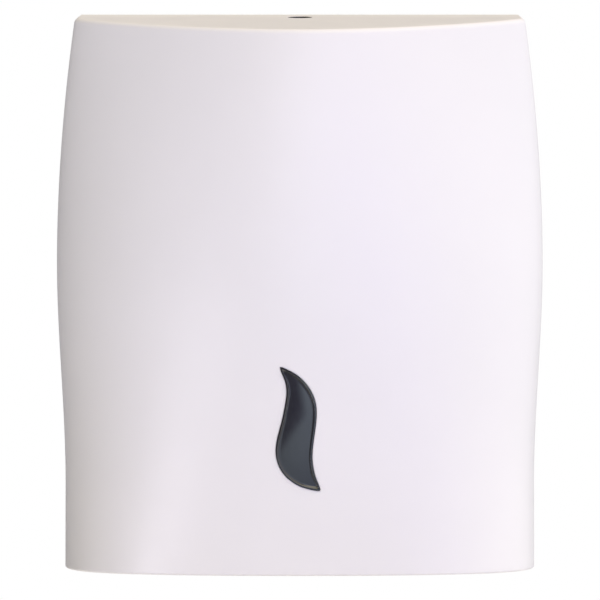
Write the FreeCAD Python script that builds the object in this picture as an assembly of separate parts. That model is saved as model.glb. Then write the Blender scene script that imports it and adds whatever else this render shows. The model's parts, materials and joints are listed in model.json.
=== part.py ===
"""Wall-mounted dispenser for folded paper towels, with a hinged cover and a push lock.

Frame: X to the right as seen from the front, Y into the wall, Z up.
The wall is the plane Y = 0 and the room is on its negative side.
The origin is the centre of the four wall screws, at half the height. Units are millimetres.
The model is at rest with the cover closed and the lock pressed down, so the cover is free.
"""
import FreeCAD, Part
import math
import os

V = FreeCAD.Vector
X_AXIS, Y_AXIS, Z_AXIS = V(1, 0, 0), V(0, 1, 0), V(0, 0, 1)

# --- case outline -------------------------------------------------------------
HEIGHT = 320.0
WIDTH_MAX = 280.0
WIDTH_TOP = WIDTH_MAX - 21.5
WIDTH_FOOT = WIDTH_MAX - 10.5
WIDEST_HEIGHT = 0.55 * HEIGHT       # widest level, above the foot
PARALLEL_HEIGHT = 47.0      # the sides are parallel up to this level
DEPTH_MAX = 128.0
DEPTH_TOP = DEPTH_MAX - 24.0
DEPTH_FOOT = DEPTH_MAX - 6.0
DEEPEST_HEIGHT = 0.45 * HEIGHT      # deepest level, above the foot
SIDE_FLAT = 25.0            # straight part of each side, from the wall
FRONT_PULL = (0.74, 0.44)   # handle of the plan's curve at the front, foot and top, by half width
SIDE_PULL = (0.72, 0.18)    # and at the side, by the reach in front of the flat sides
TOP_SLOPE = 9.0             # degrees down towards the room
LEVELS = 11                 # sections that the case is lofted through
WALL = 2.5
TOP_EDGE = 1.8              # bevel round the top face
FOOT_EDGE = 1.2             # bevel round the foot

# --- back plate ---------------------------------------------------------------
RIM_DEPTH = 10.0
SEAM_GAP = 0.4              # between the rim and the closed cover
WEB = 2.5
WEB_STANDOFF = 3.0          # the web stands this far off the wall
SCREW_SPACING_X = 190.0
SCREW_SPACING_Z = 200.0
SCREW_HOLE = 5.2
PAD_DIAMETER = 18.0
PAD_FRONT = 1.5             # the pads stand this far in front of the web
RIB = 2.0
RIB_RELIEF = 0.3            # the ribs stop this short of the wall
RAIL_X = 70.0
RAIL_HEIGHT = 2.0
LIP_REACH = 6.0             # the lip reaches this far behind the cover's wall
LIP_WALL = 1.8
LIP_GAP = 0.6
LIP_NOTCH = 2.0             # the lip is cut away this far round the key
RAIL_FOOT = 30.0            # the rails start this far above the tray
RAIL_WIDTH = 6.0
RAIL_TOP_GAP = 8.0

# --- self-tapping screws ------------------------------------------------------
SHANK = 3.0
SHANK_FIT = 0.05            # radial, in a tapped boss
SHANK_CLEAR = 0.2           # radial, in a plain hole
SCREW_HEAD = 5.6
SCREW_HEAD_HEIGHT = 2.0
BOSS_DIAMETER = 7.0

# --- hinge --------------------------------------------------------------------
HINGE_IN = 24.0             # from the wall to the hinge axis
PIN_DIAMETER = 4.0
PIN_FIT = 0.06              # radial running clearance in the cover's bosses
PIN_HEAD = 7.0
PIN_HEAD_HEIGHT = 1.5
LUG_THICKNESS = 4.5
LUG_RADIUS = 6.5
HINGE_BOSS = 11.0
HINGE_SIDE_GAP = 0.5        # between lug and boss
BOSS_REACH = 5.8            # boss length inside the cover's wall

# --- cover --------------------------------------------------------------------
FOOT_FLANGE = 5.0           # return flange along the cover's lower front edge
FLANGE_START = 42.0         # the flange starts this far from the wall
COVER_RIB_X = (62.0, 96.0)
COVER_RIB_DROP = 4.0
COVER_RIB_START = 19.0
COVER_RIB_END = 58.0
KEY_HOLE = 14.0

# --- paper tray ---------------------------------------------------------------
TRAY_FLOOR = 2.5
TRAY_RISE = 0.3             # tray underside above the back plate's rim
TRAY_SIDE_GAP = 2.0
TRAY_FRONT_GAP = 9.5
TRAY_RIM_WALL = 2.0
TRAY_RIM_HEIGHT = 11.0
TRAY_BACK_HEIGHT = 20.0
TRAY_BACK_WALL = 2.5
EXIT_WIDTH = 176.0
EXIT_DEPTH = 50.0
EXIT_CENTRE = 48.0          # from the wall
EXIT_CORNER = 12.0
THROAT_WALL = 2.0
THROAT_FIT = 0.15
THROAT_FLANGE = 4.0
THROAT_FLANGE_HEIGHT = 1.5
THROAT_DROP = 0.8           # below the tray's underside
TRAY_SCREW_X = (38.0, 100.0)
TRAY_SCREW_DROP = 7.0       # below the top of the tray's back wall
TRAY_RIB_X = (20.0, 60.0)
TRAY_RIB_HEIGHT = 5.0
SEAT_GAP = 0.2              # between pieces that stand on each other

# --- side guides --------------------------------------------------------------
TOWEL_WIDTH = WIDTH_MAX - 50.0      # 230 mm towels
GUIDE_WALL = 2.0
GUIDE_DEPTH = DEPTH_MAX - 57.0      # front of the guides, from the wall
GUIDE_FOOT_DEPTH = DEPTH_FOOT - 60.0    # the same beside the tray's rim
GUIDE_TOP = 60.0            # above the origin
GUIDE_FOOT = 10.5
GUIDE_RETURN = 12.0
GUIDE_SLOT_HEIGHT = 42.0
GUIDE_SLOT_DEPTH = 24.0
GUIDE_SLOTS = 3
GUIDE_SLOT_PITCH = 56.0
GUIDE_CUT_HEIGHT = 70.0     # sloping front corner
GUIDE_CUT_DEPTH = 35.0

# --- lock ---------------------------------------------------------------------
LOCK_IN = 19.0              # from the wall to the lock's axis
LOCK_TRAVEL = 4.0
BORE = 12.6
HEAD_FIT = 0.1              # radial
HEAD_UNDER_TOP = 1.7        # head to the cover's top wall when locked
HEAD_HEIGHT = 11.3
TUBE_OUTER = 18.4
TUBE_TO_HEAD = 0.8          # tube top under the pressed head's top
BAR_HEIGHT = 5.0
BAR_DEPTH = 5.0
BAR_FLAT = 1.7              # flat top behind the bar's ramp
BAR_REACH = 16.5            # half length
BAR_SIDE_GAP = 0.5
STEM = 5.9
STEM_LENGTH = 10.0
STEM_HOLE_FIT = 0.05
CLIP_HEIGHT = 1.0
CLIP_OUTER = 10.0
CLIP_GAP = 0.2
GROOVE_DEPTH = 0.7
SPRING_WIRE = 0.9
SPRING_MEAN = 8.4
SPRING_TURNS = 4
SPRING_LENGTH = 12.0
CAP_PLUG = 3.0
CAP_FLANGE = 1.5
CAP_SPIGOT = 3.0
HOUSING_HALF_WIDTH = 20.0
HOUSING_FLANGE = 2.5
HOUSING_SCREW_X = 15.0
HOUSING_SCREW_END = 7.0     # from each end of the flange

# --- cover catch --------------------------------------------------------------
CATCH_DROP = 5.0            # boss height under the top wall
CATCH_PLATE = 2.5
CATCH_HALF_WIDTH = 28.0
CATCH_REAR = 11.5           # from the wall
CATCH_FRONT = 42.0
CATCH_MOUTH = 10.6          # half width of the notch that clears the lock
CATCH_MOUTH_FRONT = 31.0
CATCH_SCREW_X = 22.0
CATCH_SCREW_IN = (21.5, 36.5)
TAB_THICKNESS = 2.5
TAB_WIDTH = 6.0
TAB_GAP = 0.4               # tab to latch bar
TAB_CLEAR = 0.5             # tab above the pressed latch bar

# --- sight window -------------------------------------------------------------
WINDOW_X = 0.0
WINDOW_HEIGHT = 82.0        # centre, above the foot
WINDOW_FIT = 0.15
WINDOW_PROUD = 0.8
WINDOW_RIM = 1.5
WINDOW_DISH = 1.0
WINDOW_FLANGE = 3.5
WINDOW_FLANGE_WALL = 1.4
# right and left edges of the flame outline from tip to tip, from its centre
WINDOW_RIGHT = ((-11.6, 34.5), (0.1, 28.5), (7.3, 19.5), (9.3, 9.0), (7.1, -14.0), (8.6, -25.5), (11.9, -34.3))
WINDOW_LEFT = ((11.9, -34.3), (0.0, -31.4), (-9.4, -24.0), (-12.9, -13.0), (-8.3, 7.4), (-7.2, 22.5), (-11.6, 34.5))
STAKE_DIAMETER = 3.0
STAKES = ((-14.5, 2.0), (14.6, 6.0), (-4.0, -35.5))
STAKE_LUG = 4.0
NUT_DIAMETER = 7.5
NUT_HEIGHT = 0.8

# --- worked-out places --------------------------------------------------------
FOOT_Z = -HEIGHT / 2
TOP_Z = HEIGHT / 2
SLOPE = math.tan(math.radians(TOP_SLOPE))
COVER_REAR = RIM_DEPTH + SEAM_GAP
CORNER_RADIUS = HINGE_IN - COVER_REAR
HINGE_Z = FOOT_Z + CORNER_RADIUS
WINDOW_Z = FOOT_Z + WINDOW_HEIGHT
WEB_FRONT = WEB_STANDOFF + WEB
TRAY_Z = FOOT_Z + WALL + TRAY_RISE
TRAY_TOP = TRAY_Z + TRAY_FLOOR
BIG = 2 * HEIGHT


def half_width(z):
    """Half the case's width at height z."""
    widest = FOOT_Z + WIDEST_HEIGHT
    if z > widest:
        share = (z - widest) / (TOP_Z - widest)
        return (WIDTH_MAX - (WIDTH_MAX - WIDTH_TOP) * share ** 1.9) / 2
    share = min(1.0, (widest - z) / (widest - FOOT_Z - PARALLEL_HEIGHT))
    return (WIDTH_MAX - (WIDTH_MAX - WIDTH_FOOT) * share * share * (3 - 2 * share)) / 2


def depth(z):
    """Distance of the front from the wall at height z."""
    deepest = FOOT_Z + DEEPEST_HEIGHT
    if z > deepest:
        return DEPTH_MAX - (DEPTH_MAX - DEPTH_TOP) * ((z - deepest) / (TOP_Z - deepest)) ** 2
    return DEPTH_MAX - (DEPTH_MAX - DEPTH_FOOT) * ((deepest - z) / DEEPEST_HEIGHT) ** 2


def top_height(y, inset=0.0):
    """Height of the sloping top at y, or of a plane parallel to it and inset below it."""
    return TOP_Z + y * SLOPE - inset / math.cos(math.radians(TOP_SLOPE))


def box(x0, x1, y0, y1, z0, z1):
    return Part.makeBox(x1 - x0, y1 - y0, z1 - z0, V(x0, y0, z0))


def rod(diameter, start, end):
    """Cylinder between two points."""
    along = end.sub(start)
    return Part.makeCylinder(diameter / 2, along.Length, start, along)


def prism(points, along):
    """Straight extrusion of a polygon."""
    return Part.Face(Part.makePolygon(list(points) + [points[0]])).extrude(along)


def both_sides(shape):
    """The shape and its mirror image in the middle plane."""
    return [shape, shape.mirror(V(0, 0, 0), X_AXIS)]


def rounded_plate(width, length, corner, z0, z1, y_middle):
    """Upright block on a rounded rectangle in plan."""
    block = box(-width / 2, width / 2, y_middle - length / 2, y_middle + length / 2, z0, z1)
    uprights = [e for e in block.Edges if abs(e.BoundBox.ZLength - (z1 - z0)) < 1e-6 and e.BoundBox.XLength < 1e-6
                and e.BoundBox.YLength < 1e-6]
    return block.makeFillet(corner, uprights)


def front_section(z, side_inset, front_inset):
    """Plan outline of the case's front at height z: two Bezier quarters and a chord."""
    a = half_width(z) - side_inset
    d = depth(z) - front_inset
    share = (z - FOOT_Z) / HEIGHT
    front_pull = FRONT_PULL[0] + (FRONT_PULL[1] - FRONT_PULL[0]) * share
    side_pull = SIDE_PULL[0] + (SIDE_PULL[1] - SIDE_PULL[0]) * share
    reach = d - SIDE_FLAT

    def quarter(side):
        curve = Part.BezierCurve()
        curve.setPoles([V(side * a, -SIDE_FLAT, z), V(side * a, -SIDE_FLAT - side_pull * reach, z),
                        V(side * front_pull * a, -d, z), V(0, -d, z)])
        return curve

    left = quarter(-1)
    left.reverse()
    chord = Part.makeLine(V(-a, -SIDE_FLAT, z), V(a, -SIDE_FLAT, z))
    return Part.Wire([quarter(1).toShape(), left.toShape(), chord])


def section_heights(foot_z=FOOT_Z):
    """Heights of the sections, from foot_z to a little above the top."""
    step = HEIGHT / (LEVELS - 1)
    heights = [FOOT_Z + i * step for i in range(LEVELS - 1)] + [TOP_Z + WALL]
    return [foot_z] + [z for z in heights if z > max(foot_z, FOOT_Z)]


def under_top(inset, foot_z):
    """Everything between a level and the sloping top, inset below it."""
    high = top_height(BIG, inset)
    low = top_height(-BIG, inset)
    profile = [V(-BIG, BIG, foot_z), V(-BIG, BIG, high), V(-BIG, -BIG, low), V(-BIG, -BIG, foot_z)]
    return prism(profile, V(2 * BIG, 0, 0))


def case_block(inset, y_near, y_far, foot_z=FOOT_Z):
    """The straight-sided part of the case's form, between two distances from the wall."""
    heights = section_heights(foot_z)
    right = [V(half_width(z) - inset, -y_near, z) for z in heights]
    left = [V(-p.x, p.y, p.z) for p in reversed(right)]
    return prism(right + left, V(0, y_near - y_far, 0)).common(under_top(inset, foot_z))


def case_solid(side_inset=0.0, front_inset=None, top_inset=None, foot_z=FOOT_Z):
    """Solid of the case's form from the wall to the front, inset by the given amounts."""
    front_inset = side_inset if front_inset is None else front_inset
    top_inset = side_inset if top_inset is None else top_inset
    wires = [front_section(z, side_inset, front_inset) for z in section_heights(min(foot_z, FOOT_Z))]
    body = Part.makeLoft(wires, True, True).common(under_top(top_inset, foot_z))
    block = case_block(side_inset, 0, SIDE_FLAT, foot_z).common(under_top(top_inset, foot_z))
    return body.fuse(block).removeSplitter().Solids[0]


def outer_case():
    """The case's outside with its top and foot edges bevelled."""
    body = case_solid()

    def rim(edges, test):
        return [e for e in edges if test(e.BoundBox) and e.BoundBox.YLength > 1]

    top = rim(body.Edges, lambda b: abs(b.ZMax - top_height(b.YMax)) < 0.01 and abs(b.ZMin - top_height(b.YMin)) < 0.01)
    body = body.makeChamfer(TOP_EDGE, top)
    foot = rim(body.Edges, lambda b: b.ZMax < FOOT_Z + 0.01)
    return body.makeChamfer(FOOT_EDGE, foot)


def slab(y_near, y_far):
    """Everything between two distances from the wall."""
    return box(-BIG, BIG, -y_far, -y_near, -BIG, BIG)


# --- screws -------------------------------------------------------------------
def tapping_screw(seat, direction, length):
    """Pan head screw: seat is the middle of the face under its head, direction points to its tip."""
    head = Part.makeCylinder(SCREW_HEAD / 2, SCREW_HEAD_HEIGHT, seat, direction.negative())
    shank = Part.makeCylinder(SHANK / 2, length, seat, direction)
    return head.fuse(shank)


def wall_boss_pattern():
    """Places (x, z) of the screws that go into the web, by piece."""
    guides = [(side * guide_screw_x(), z) for side in (-1, 1) for z in guide_screw_heights()]
    tray = [(side * x, tray_screw_z()) for side in (-1, 1) for x in TRAY_SCREW_X]
    housing = [(side * HOUSING_SCREW_X, z) for side in (-1, 1) for z in housing_screw_heights()]
    return guides, tray, housing


def guide_screw_x():
    return TOWEL_WIDTH / 2 + GUIDE_WALL + 1 + GUIDE_FOOT / 2


def guide_screw_heights():
    return (HINGE_Z + 3 * LUG_RADIUS + GUIDE_FOOT, (TRAY_TOP + GUIDE_TOP) / 2, GUIDE_TOP - GUIDE_FOOT)


def tray_screw_z():
    return TRAY_Z + TRAY_BACK_HEIGHT - TRAY_SCREW_DROP


def housing_screw_heights():
    return (housing_bottom() + HOUSING_SCREW_END, tube_top() - HOUSING_SCREW_END)


def web_screws(places, seat_in):
    """Screws into the web, with heads seated at seat_in from the wall."""
    length = seat_in - 2 * RIB_RELIEF
    return Part.makeCompound([tapping_screw(V(x, -seat_in, z), Y_AXIS, length) for x, z in places])


# --- back plate ---------------------------------------------------------------
def back_plate(outer):
    plate = outer.common(slab(0, RIM_DEPTH))
    plate = plate.cut(case_block(WALL, -1, RIM_DEPTH + 1, FOOT_Z + WALL))
    plate = plate.fuse(case_block(WALL, WEB_STANDOFF, WEB_FRONT, FOOT_Z + WALL))

    # lip that the cover's edge closes over, above the hinge
    lip_foot = HINGE_Z + 2 * LUG_RADIUS
    lip = case_block(WALL + LIP_GAP, WEB_FRONT, RIM_DEPTH + LIP_REACH, lip_foot)
    lip = lip.cut(case_block(WALL + LIP_GAP + LIP_WALL, 0, SIDE_FLAT, lip_foot - 1))
    notch = KEY_HOLE / 2 + LIP_NOTCH
    lip = lip.cut(box(-notch, notch, -LOCK_IN, -LOCK_IN + notch, tube_top(), TOP_Z))
    plate = plate.fuse(lip)

    # ribs behind the web, through the screw pads
    rib_x = (SCREW_SPACING_X / 2, SCREW_SPACING_X / 6)
    for x in rib_x:
        for side in (-1, 1):
            upright = box(side * x - RIB / 2, side * x + RIB / 2, -WEB_STANDOFF, -RIB_RELIEF, FOOT_Z + WALL, TOP_Z - 2 * WALL)
            plate = plate.fuse(upright)
    for z in (-SCREW_SPACING_Z / 2, 0, SCREW_SPACING_Z / 2):
        half = half_width(z) - WALL
        plate = plate.fuse(box(-half, half, -WEB_STANDOFF, -RIB_RELIEF, z - RIB / 2, z + RIB / 2))

    # wall screw pads
    for x in (-SCREW_SPACING_X / 2, SCREW_SPACING_X / 2):
        for z in (-SCREW_SPACING_Z / 2, SCREW_SPACING_Z / 2):
            plate = plate.fuse(rod(PAD_DIAMETER, V(x, 0, z), V(x, -WEB_FRONT - PAD_FRONT, z)))
            plate = plate.cut(rod(SCREW_HOLE, V(x, 1, z), V(x, -BIG / 4, z)))

    # towel rails in front of the web
    rail_low, rail_top = TRAY_TOP + RAIL_FOOT, housing_bottom() - RAIL_TOP_GAP
    for side in (-1, 1):
        section = [V(side * RAIL_X + x, -y_in, rail_low)
                   for x, y_in in ((-RAIL_WIDTH / 2, WEB_FRONT), (RAIL_WIDTH / 2, WEB_FRONT),
                                   (RAIL_WIDTH / 6, WEB_FRONT + RAIL_HEIGHT), (-RAIL_WIDTH / 6, WEB_FRONT + RAIL_HEIGHT))]
        plate = plate.fuse(prism(section, V(0, 0, rail_top - rail_low)))

    # tapped bosses behind the web
    for places in wall_boss_pattern():
        for x, z in places:
            plate = plate.fuse(rod(BOSS_DIAMETER, V(x, -WEB_FRONT, z), V(x, -RIB_RELIEF, z)))
            plate = plate.cut(rod(SHANK + 2 * SHANK_FIT, V(x, -BIG / 4, z), V(x, -RIB_RELIEF - 0.2, z)))

    # hinge lugs
    x1 = lug_outer_x()
    x0 = x1 - LUG_THICKNESS
    for side in (-1, 1):
        arm = box(min(side * x0, side * x1), max(side * x0, side * x1), -HINGE_IN, -WEB_STANDOFF,
                  HINGE_Z - LUG_RADIUS, HINGE_Z + LUG_RADIUS)
        arm = arm.fuse(rod(2 * LUG_RADIUS, V(side * x0, -HINGE_IN, HINGE_Z), V(side * x1, -HINGE_IN, HINGE_Z)))
        gusset = prism([V(side * x0, -WEB_FRONT, HINGE_Z + LUG_RADIUS), V(side * x0, -HINGE_IN, HINGE_Z + LUG_RADIUS),
                        V(side * x0, -WEB_FRONT, HINGE_Z + 3 * LUG_RADIUS)], V(side * LUG_THICKNESS, 0, 0))
        arm = arm.fuse(gusset)
        arm = arm.cut(rod(PIN_DIAMETER, V(side * (x0 - 1), -HINGE_IN, HINGE_Z), V(side * (x1 + 1), -HINGE_IN, HINGE_Z)))
        plate = plate.fuse(arm)
    return plate.removeSplitter()


def lug_outer_x():
    return half_width(HINGE_Z) - WALL - BOSS_REACH - HINGE_SIDE_GAP


def hinge_pin(side):
    x_head = lug_outer_x() - LUG_THICKNESS
    x_end = half_width(HINGE_Z) - WALL - HINGE_SIDE_GAP
    pin = rod(PIN_DIAMETER, V(side * x_head, -HINGE_IN, HINGE_Z), V(side * x_end, -HINGE_IN, HINGE_Z))
    head = rod(PIN_HEAD, V(side * (x_head - PIN_HEAD_HEIGHT), -HINGE_IN, HINGE_Z), V(side * x_head, -HINGE_IN, HINGE_Z))
    return pin.fuse(head)


# --- paper tray ---------------------------------------------------------------
def tray_body(extra=0.0):
    """Solid over the tray's plan outline, from its underside up, with an extra inset."""
    return case_solid(WALL + TRAY_SIDE_GAP + extra, WALL + TRAY_FRONT_GAP + extra, WALL)


def paper_tray():
    rear = WEB_FRONT + SEAT_GAP
    floor_zone = box(-BIG, BIG, -BIG, -rear, TRAY_Z, TRAY_TOP)
    tray = tray_body().common(floor_zone)
    rim_zone = box(-BIG, BIG, -BIG, -rear, TRAY_TOP, TRAY_TOP + TRAY_RIM_HEIGHT)
    tray = tray.fuse(tray_body().cut(tray_body(TRAY_RIM_WALL)).common(rim_zone))

    notch_x = lug_outer_x() - LUG_THICKNESS - PIN_HEAD_HEIGHT - 1
    back = box(-notch_x, notch_x, -WEB_FRONT - TRAY_BACK_WALL, -WEB_FRONT, TRAY_Z, TRAY_Z + TRAY_BACK_HEIGHT)
    tray = tray.fuse(back)
    for notch in both_sides(box(notch_x, BIG, -HINGE_IN - HINGE_BOSS, 1, -BIG, BIG)):
        tray = tray.cut(notch)

    exit_hole = rounded_plate(EXIT_WIDTH, EXIT_DEPTH, EXIT_CORNER, TRAY_Z - 1, TRAY_TOP + 1, -EXIT_CENTRE)
    tray = tray.cut(exit_hole)

    # ribs from the exit to the rim
    rib_high = TRAY_TOP + TRAY_RIB_HEIGHT
    exit_front = EXIT_CENTRE + EXIT_DEPTH / 2 + THROAT_FLANGE + 1
    for x in TRAY_RIB_X:
        front = depth(TRAY_Z) - WALL - TRAY_FRONT_GAP - TRAY_RIM_WALL / 2
        front -= (depth(TRAY_Z) - SIDE_FLAT) * (x / half_width(TRAY_Z)) ** 2 / 3
        for rib in both_sides(box(x - RIB / 2, x + RIB / 2, -front, -exit_front, TRAY_TOP, rib_high)):
            tray = tray.fuse(rib)
    for x, z in [(s * x, tray_screw_z()) for s in (-1, 1) for x in TRAY_SCREW_X]:
        tray = tray.cut(rod(SHANK + 2 * SHANK_CLEAR, V(x, 0, z), V(x, -rear - WALL - 5, z)))
    return tray.removeSplitter()


def exit_throat():
    """Ring with rounded lips that the towels are pulled through."""
    width, length = EXIT_WIDTH - 2 * THROAT_FIT, EXIT_DEPTH - 2 * THROAT_FIT
    low, high = TRAY_Z - THROAT_DROP, TRAY_TOP + THROAT_FLANGE_HEIGHT
    corner = EXIT_CORNER - THROAT_FIT
    ring = rounded_plate(width, length, corner, low, high, -EXIT_CENTRE)
    flange = rounded_plate(width + 2 * THROAT_FLANGE, length + 2 * THROAT_FLANGE, corner + THROAT_FLANGE,
                           TRAY_TOP, high, -EXIT_CENTRE)
    hole = rounded_plate(width - 2 * THROAT_WALL, length - 2 * THROAT_WALL, corner - THROAT_WALL,
                         low - 1, high + 1, -EXIT_CENTRE)
    ring = ring.fuse(flange).cut(hole).removeSplitter()
    lips = [e for e in ring.Edges if e.BoundBox.ZLength < 1e-6
            and (abs(e.BoundBox.ZMax - high) < 1e-6 or abs(e.BoundBox.ZMax - low) < 1e-6)
            and abs(e.CenterOfMass.x) < width / 2 - THROAT_WALL + 0.01
            and abs(e.CenterOfMass.y + EXIT_CENTRE) < length / 2 - THROAT_WALL + 0.01]
    return ring.makeChamfer(THROAT_FLANGE_HEIGHT * 0.6, lips)


# --- side guides --------------------------------------------------------------
def side_guide(side):
    """Upright guide beside the towels: plate, outward foot with screws, inward front return."""
    x0 = TOWEL_WIDTH / 2 + 1
    x1 = x0 + GUIDE_WALL
    low = TRAY_TOP + SEAT_GAP
    plate = box(x0, x1, -GUIDE_DEPTH, -WEB_FRONT, low, GUIDE_TOP)
    foot_bottom = HINGE_Z + 3 * LUG_RADIUS + RIB
    foot = box(x1, x1 + GUIDE_FOOT, -WEB_FRONT - GUIDE_WALL, -WEB_FRONT, foot_bottom, GUIDE_TOP)
    front = box(x0 - GUIDE_RETURN, x0, -GUIDE_DEPTH, -GUIDE_DEPTH + GUIDE_WALL, low, GUIDE_TOP)
    guide = plate.fuse(foot).fuse(front)

    # oblong cut-outs in the plate
    middle = -(WEB_FRONT + GUIDE_DEPTH) / 2
    centre = (TRAY_TOP + GUIDE_TOP) / 2
    radius = GUIDE_SLOT_DEPTH / 2
    straight = (GUIDE_SLOT_HEIGHT - GUIDE_SLOT_DEPTH) / 2
    for i in range(GUIDE_SLOTS):
        z = centre + (i - (GUIDE_SLOTS - 1) / 2) * GUIDE_SLOT_PITCH
        slot = box(x0 - 1, x1 + 1, middle - radius, middle + radius, z - straight, z + straight)
        for end in (-1, 1):
            slot = slot.fuse(rod(2 * radius, V(x0 - 1, middle, z + end * straight), V(x1 + 1, middle, z + end * straight)))
        guide = guide.cut(slot)

    # sloping front corner at the top, for loading
    cut_low, cut_rear = GUIDE_TOP - GUIDE_CUT_HEIGHT, -GUIDE_DEPTH + GUIDE_CUT_DEPTH
    corner = prism([V(0, -GUIDE_DEPTH, cut_low), V(0, cut_rear, GUIDE_TOP), V(0, cut_rear, GUIDE_TOP + 1),
                    V(0, -GUIDE_DEPTH - 1, GUIDE_TOP + 1), V(0, -GUIDE_DEPTH - 1, cut_low)], V(BIG, 0, 0))
    guide = guide.cut(corner)
    # notches over the tray's rim and round its back wall
    rim_top = TRAY_TOP + TRAY_RIM_HEIGHT + SEAT_GAP
    guide = guide.cut(box(0, BIG, -BIG, -GUIDE_FOOT_DEPTH, -BIG, rim_top))
    guide = guide.cut(box(0, BIG, -WEB_FRONT - TRAY_BACK_WALL - SEAT_GAP, 0, -BIG, TRAY_Z + TRAY_BACK_HEIGHT + SEAT_GAP))
    for z in guide_screw_heights():
        x = guide_screw_x()
        guide = guide.cut(rod(SHANK + 2 * SHANK_CLEAR, V(x, 0, z), V(x, -WEB_FRONT - GUIDE_WALL - 1, z)))
    guide = guide.removeSplitter()
    return guide if side > 0 else guide.mirror(V(0, 0, 0), X_AXIS)


# --- lock ---------------------------------------------------------------------
def head_top():
    """Top of the plunger's head when it is pressed."""
    front_of_head = -(LOCK_IN + BORE / 2 - HEAD_FIT)
    return top_height(front_of_head, WALL) - HEAD_UNDER_TOP - LOCK_TRAVEL


def tube_top():
    return head_top() - TUBE_TO_HEAD


def bar_top():
    return head_top() - HEAD_HEIGHT


def bar_bottom():
    return bar_top() - BAR_HEIGHT


def clip_bottom():
    return bar_bottom() - CLIP_GAP - CLIP_HEIGHT


def cap_top():
    return clip_bottom() - SPRING_LENGTH


def tube_bottom():
    return cap_top() - CAP_PLUG


def housing_bottom():
    return tube_bottom() - CAP_FLANGE


def lock_point(z):
    return V(0, -LOCK_IN, z)


def lock_housing():
    tube = rod(TUBE_OUTER, lock_point(tube_bottom()), lock_point(tube_top()))
    rear_face = -WEB_FRONT - HOUSING_FLANGE
    neck = box(-TUBE_OUTER / 2, TUBE_OUTER / 2, -LOCK_IN, rear_face, tube_bottom(), tube_top())
    flange = box(-HOUSING_HALF_WIDTH, HOUSING_HALF_WIDTH, rear_face, -WEB_FRONT, housing_bottom(), tube_top())
    body = tube.fuse(neck).fuse(flange)
    for gusset_z in (tube_bottom() + 14,):
        body = body.fuse(prism([V(-TUBE_OUTER / 2, rear_face, gusset_z), V(-HOUSING_HALF_WIDTH + 1, rear_face, gusset_z),
                                V(-TUBE_OUTER / 2, -LOCK_IN, gusset_z)], V(0, 0, RIB)))
        body = body.fuse(prism([V(TUBE_OUTER / 2, rear_face, gusset_z), V(HOUSING_HALF_WIDTH - 1, rear_face, gusset_z),
                                V(TUBE_OUTER / 2, -LOCK_IN, gusset_z)], V(0, 0, RIB)))
    body = body.cut(rod(BORE, lock_point(housing_bottom() - 1), lock_point(tube_top() + 1)))
    slot_half = BAR_DEPTH / 2 + BAR_SIDE_GAP
    slot = box(-BAR_REACH, BAR_REACH, -LOCK_IN - slot_half, -LOCK_IN + slot_half,
               bar_bottom() - BAR_SIDE_GAP, bar_top() + LOCK_TRAVEL + BAR_SIDE_GAP)
    body = body.cut(slot)
    for side in (-1, 1):
        for z in housing_screw_heights():
            x = side * HOUSING_SCREW_X
            body = body.cut(rod(SHANK + 2 * SHANK_CLEAR, V(x, 0, z), V(x, -LOCK_IN, z)))
    return body.removeSplitter()


def lock_cap():
    flange = rod(TUBE_OUTER, lock_point(housing_bottom()), lock_point(tube_bottom()))
    flange = flange.cut(box(-BIG, BIG, -WEB_FRONT - HOUSING_FLANGE - SEAT_GAP, 0, -BIG, BIG))
    plug = rod(BORE, lock_point(tube_bottom()), lock_point(cap_top()))
    spigot = rod(SPRING_MEAN - 2 * SPRING_WIRE, lock_point(cap_top()), lock_point(cap_top() + CAP_SPIGOT))
    return flange.fuse(plug).fuse(spigot)


def lock_spring():
    """Compression spring of square wire with its ends on the cap and on the clip."""
    half = SPRING_WIRE / 2
    rise = SPRING_LENGTH - SPRING_WIRE
    radius = SPRING_MEAN / 2
    helix = Part.Wire(Part.makeHelix(rise / SPRING_TURNS, rise, radius))
    corners = [V(radius - half, 0, -half), V(radius + half, 0, -half), V(radius + half, 0, half), V(radius - half, 0, half)]
    coil = helix.makePipeShell([Part.makePolygon(corners + [corners[0]])], True, True)
    coil.translate(lock_point(cap_top() + half))
    return coil


def lock_plunger():
    """Round head with a key socket, and a stem with a groove for the clip."""
    head = rod(BORE - 2 * HEAD_FIT, lock_point(bar_top()), lock_point(head_top()))
    crown = [e for e in head.Edges if abs(e.CenterOfMass.z - head_top()) < 1e-6]
    head = head.makeChamfer(0.6, crown)
    socket = rod(5.0, lock_point(head_top() - 4), lock_point(head_top() + 1))
    cross = box(-4.4, 4.4, -LOCK_IN - 0.8, -LOCK_IN + 0.8, head_top() - 2, head_top() + 1)
    head = head.cut(socket.fuse(cross))
    stem = rod(STEM, lock_point(bar_top() - STEM_LENGTH), lock_point(bar_top()))
    groove = rod(STEM + 2, lock_point(clip_bottom() - CLIP_GAP / 2), lock_point(clip_bottom() + CLIP_HEIGHT + CLIP_GAP / 2))
    groove = groove.cut(rod(STEM - 2 * GROOVE_DEPTH, lock_point(clip_bottom() - 1), lock_point(bar_top())))
    return head.fuse(stem).cut(groove)


def latch_bar():
    """Cross bar: two wings with a ramp in front and an upright catch face behind, on a round hub."""
    rear = -LOCK_IN + BAR_DEPTH / 2
    front = -LOCK_IN - BAR_DEPTH / 2
    low, high = bar_bottom(), bar_top()
    outline = [V(-BAR_REACH, rear, low), V(-BAR_REACH, rear, high), V(-BAR_REACH, rear - BAR_FLAT, high),
               V(-BAR_REACH, front, high - BAR_HEIGHT / 2), V(-BAR_REACH, front, low)]
    bar = prism(outline, V(2 * BAR_REACH, 0, 0))
    hub = rod(BORE - 4 * HEAD_FIT, lock_point(low), lock_point(high))
    return bar.fuse(hub).cut(rod(STEM + 2 * STEM_HOLE_FIT, lock_point(low - 1), lock_point(high + 1)))


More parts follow.
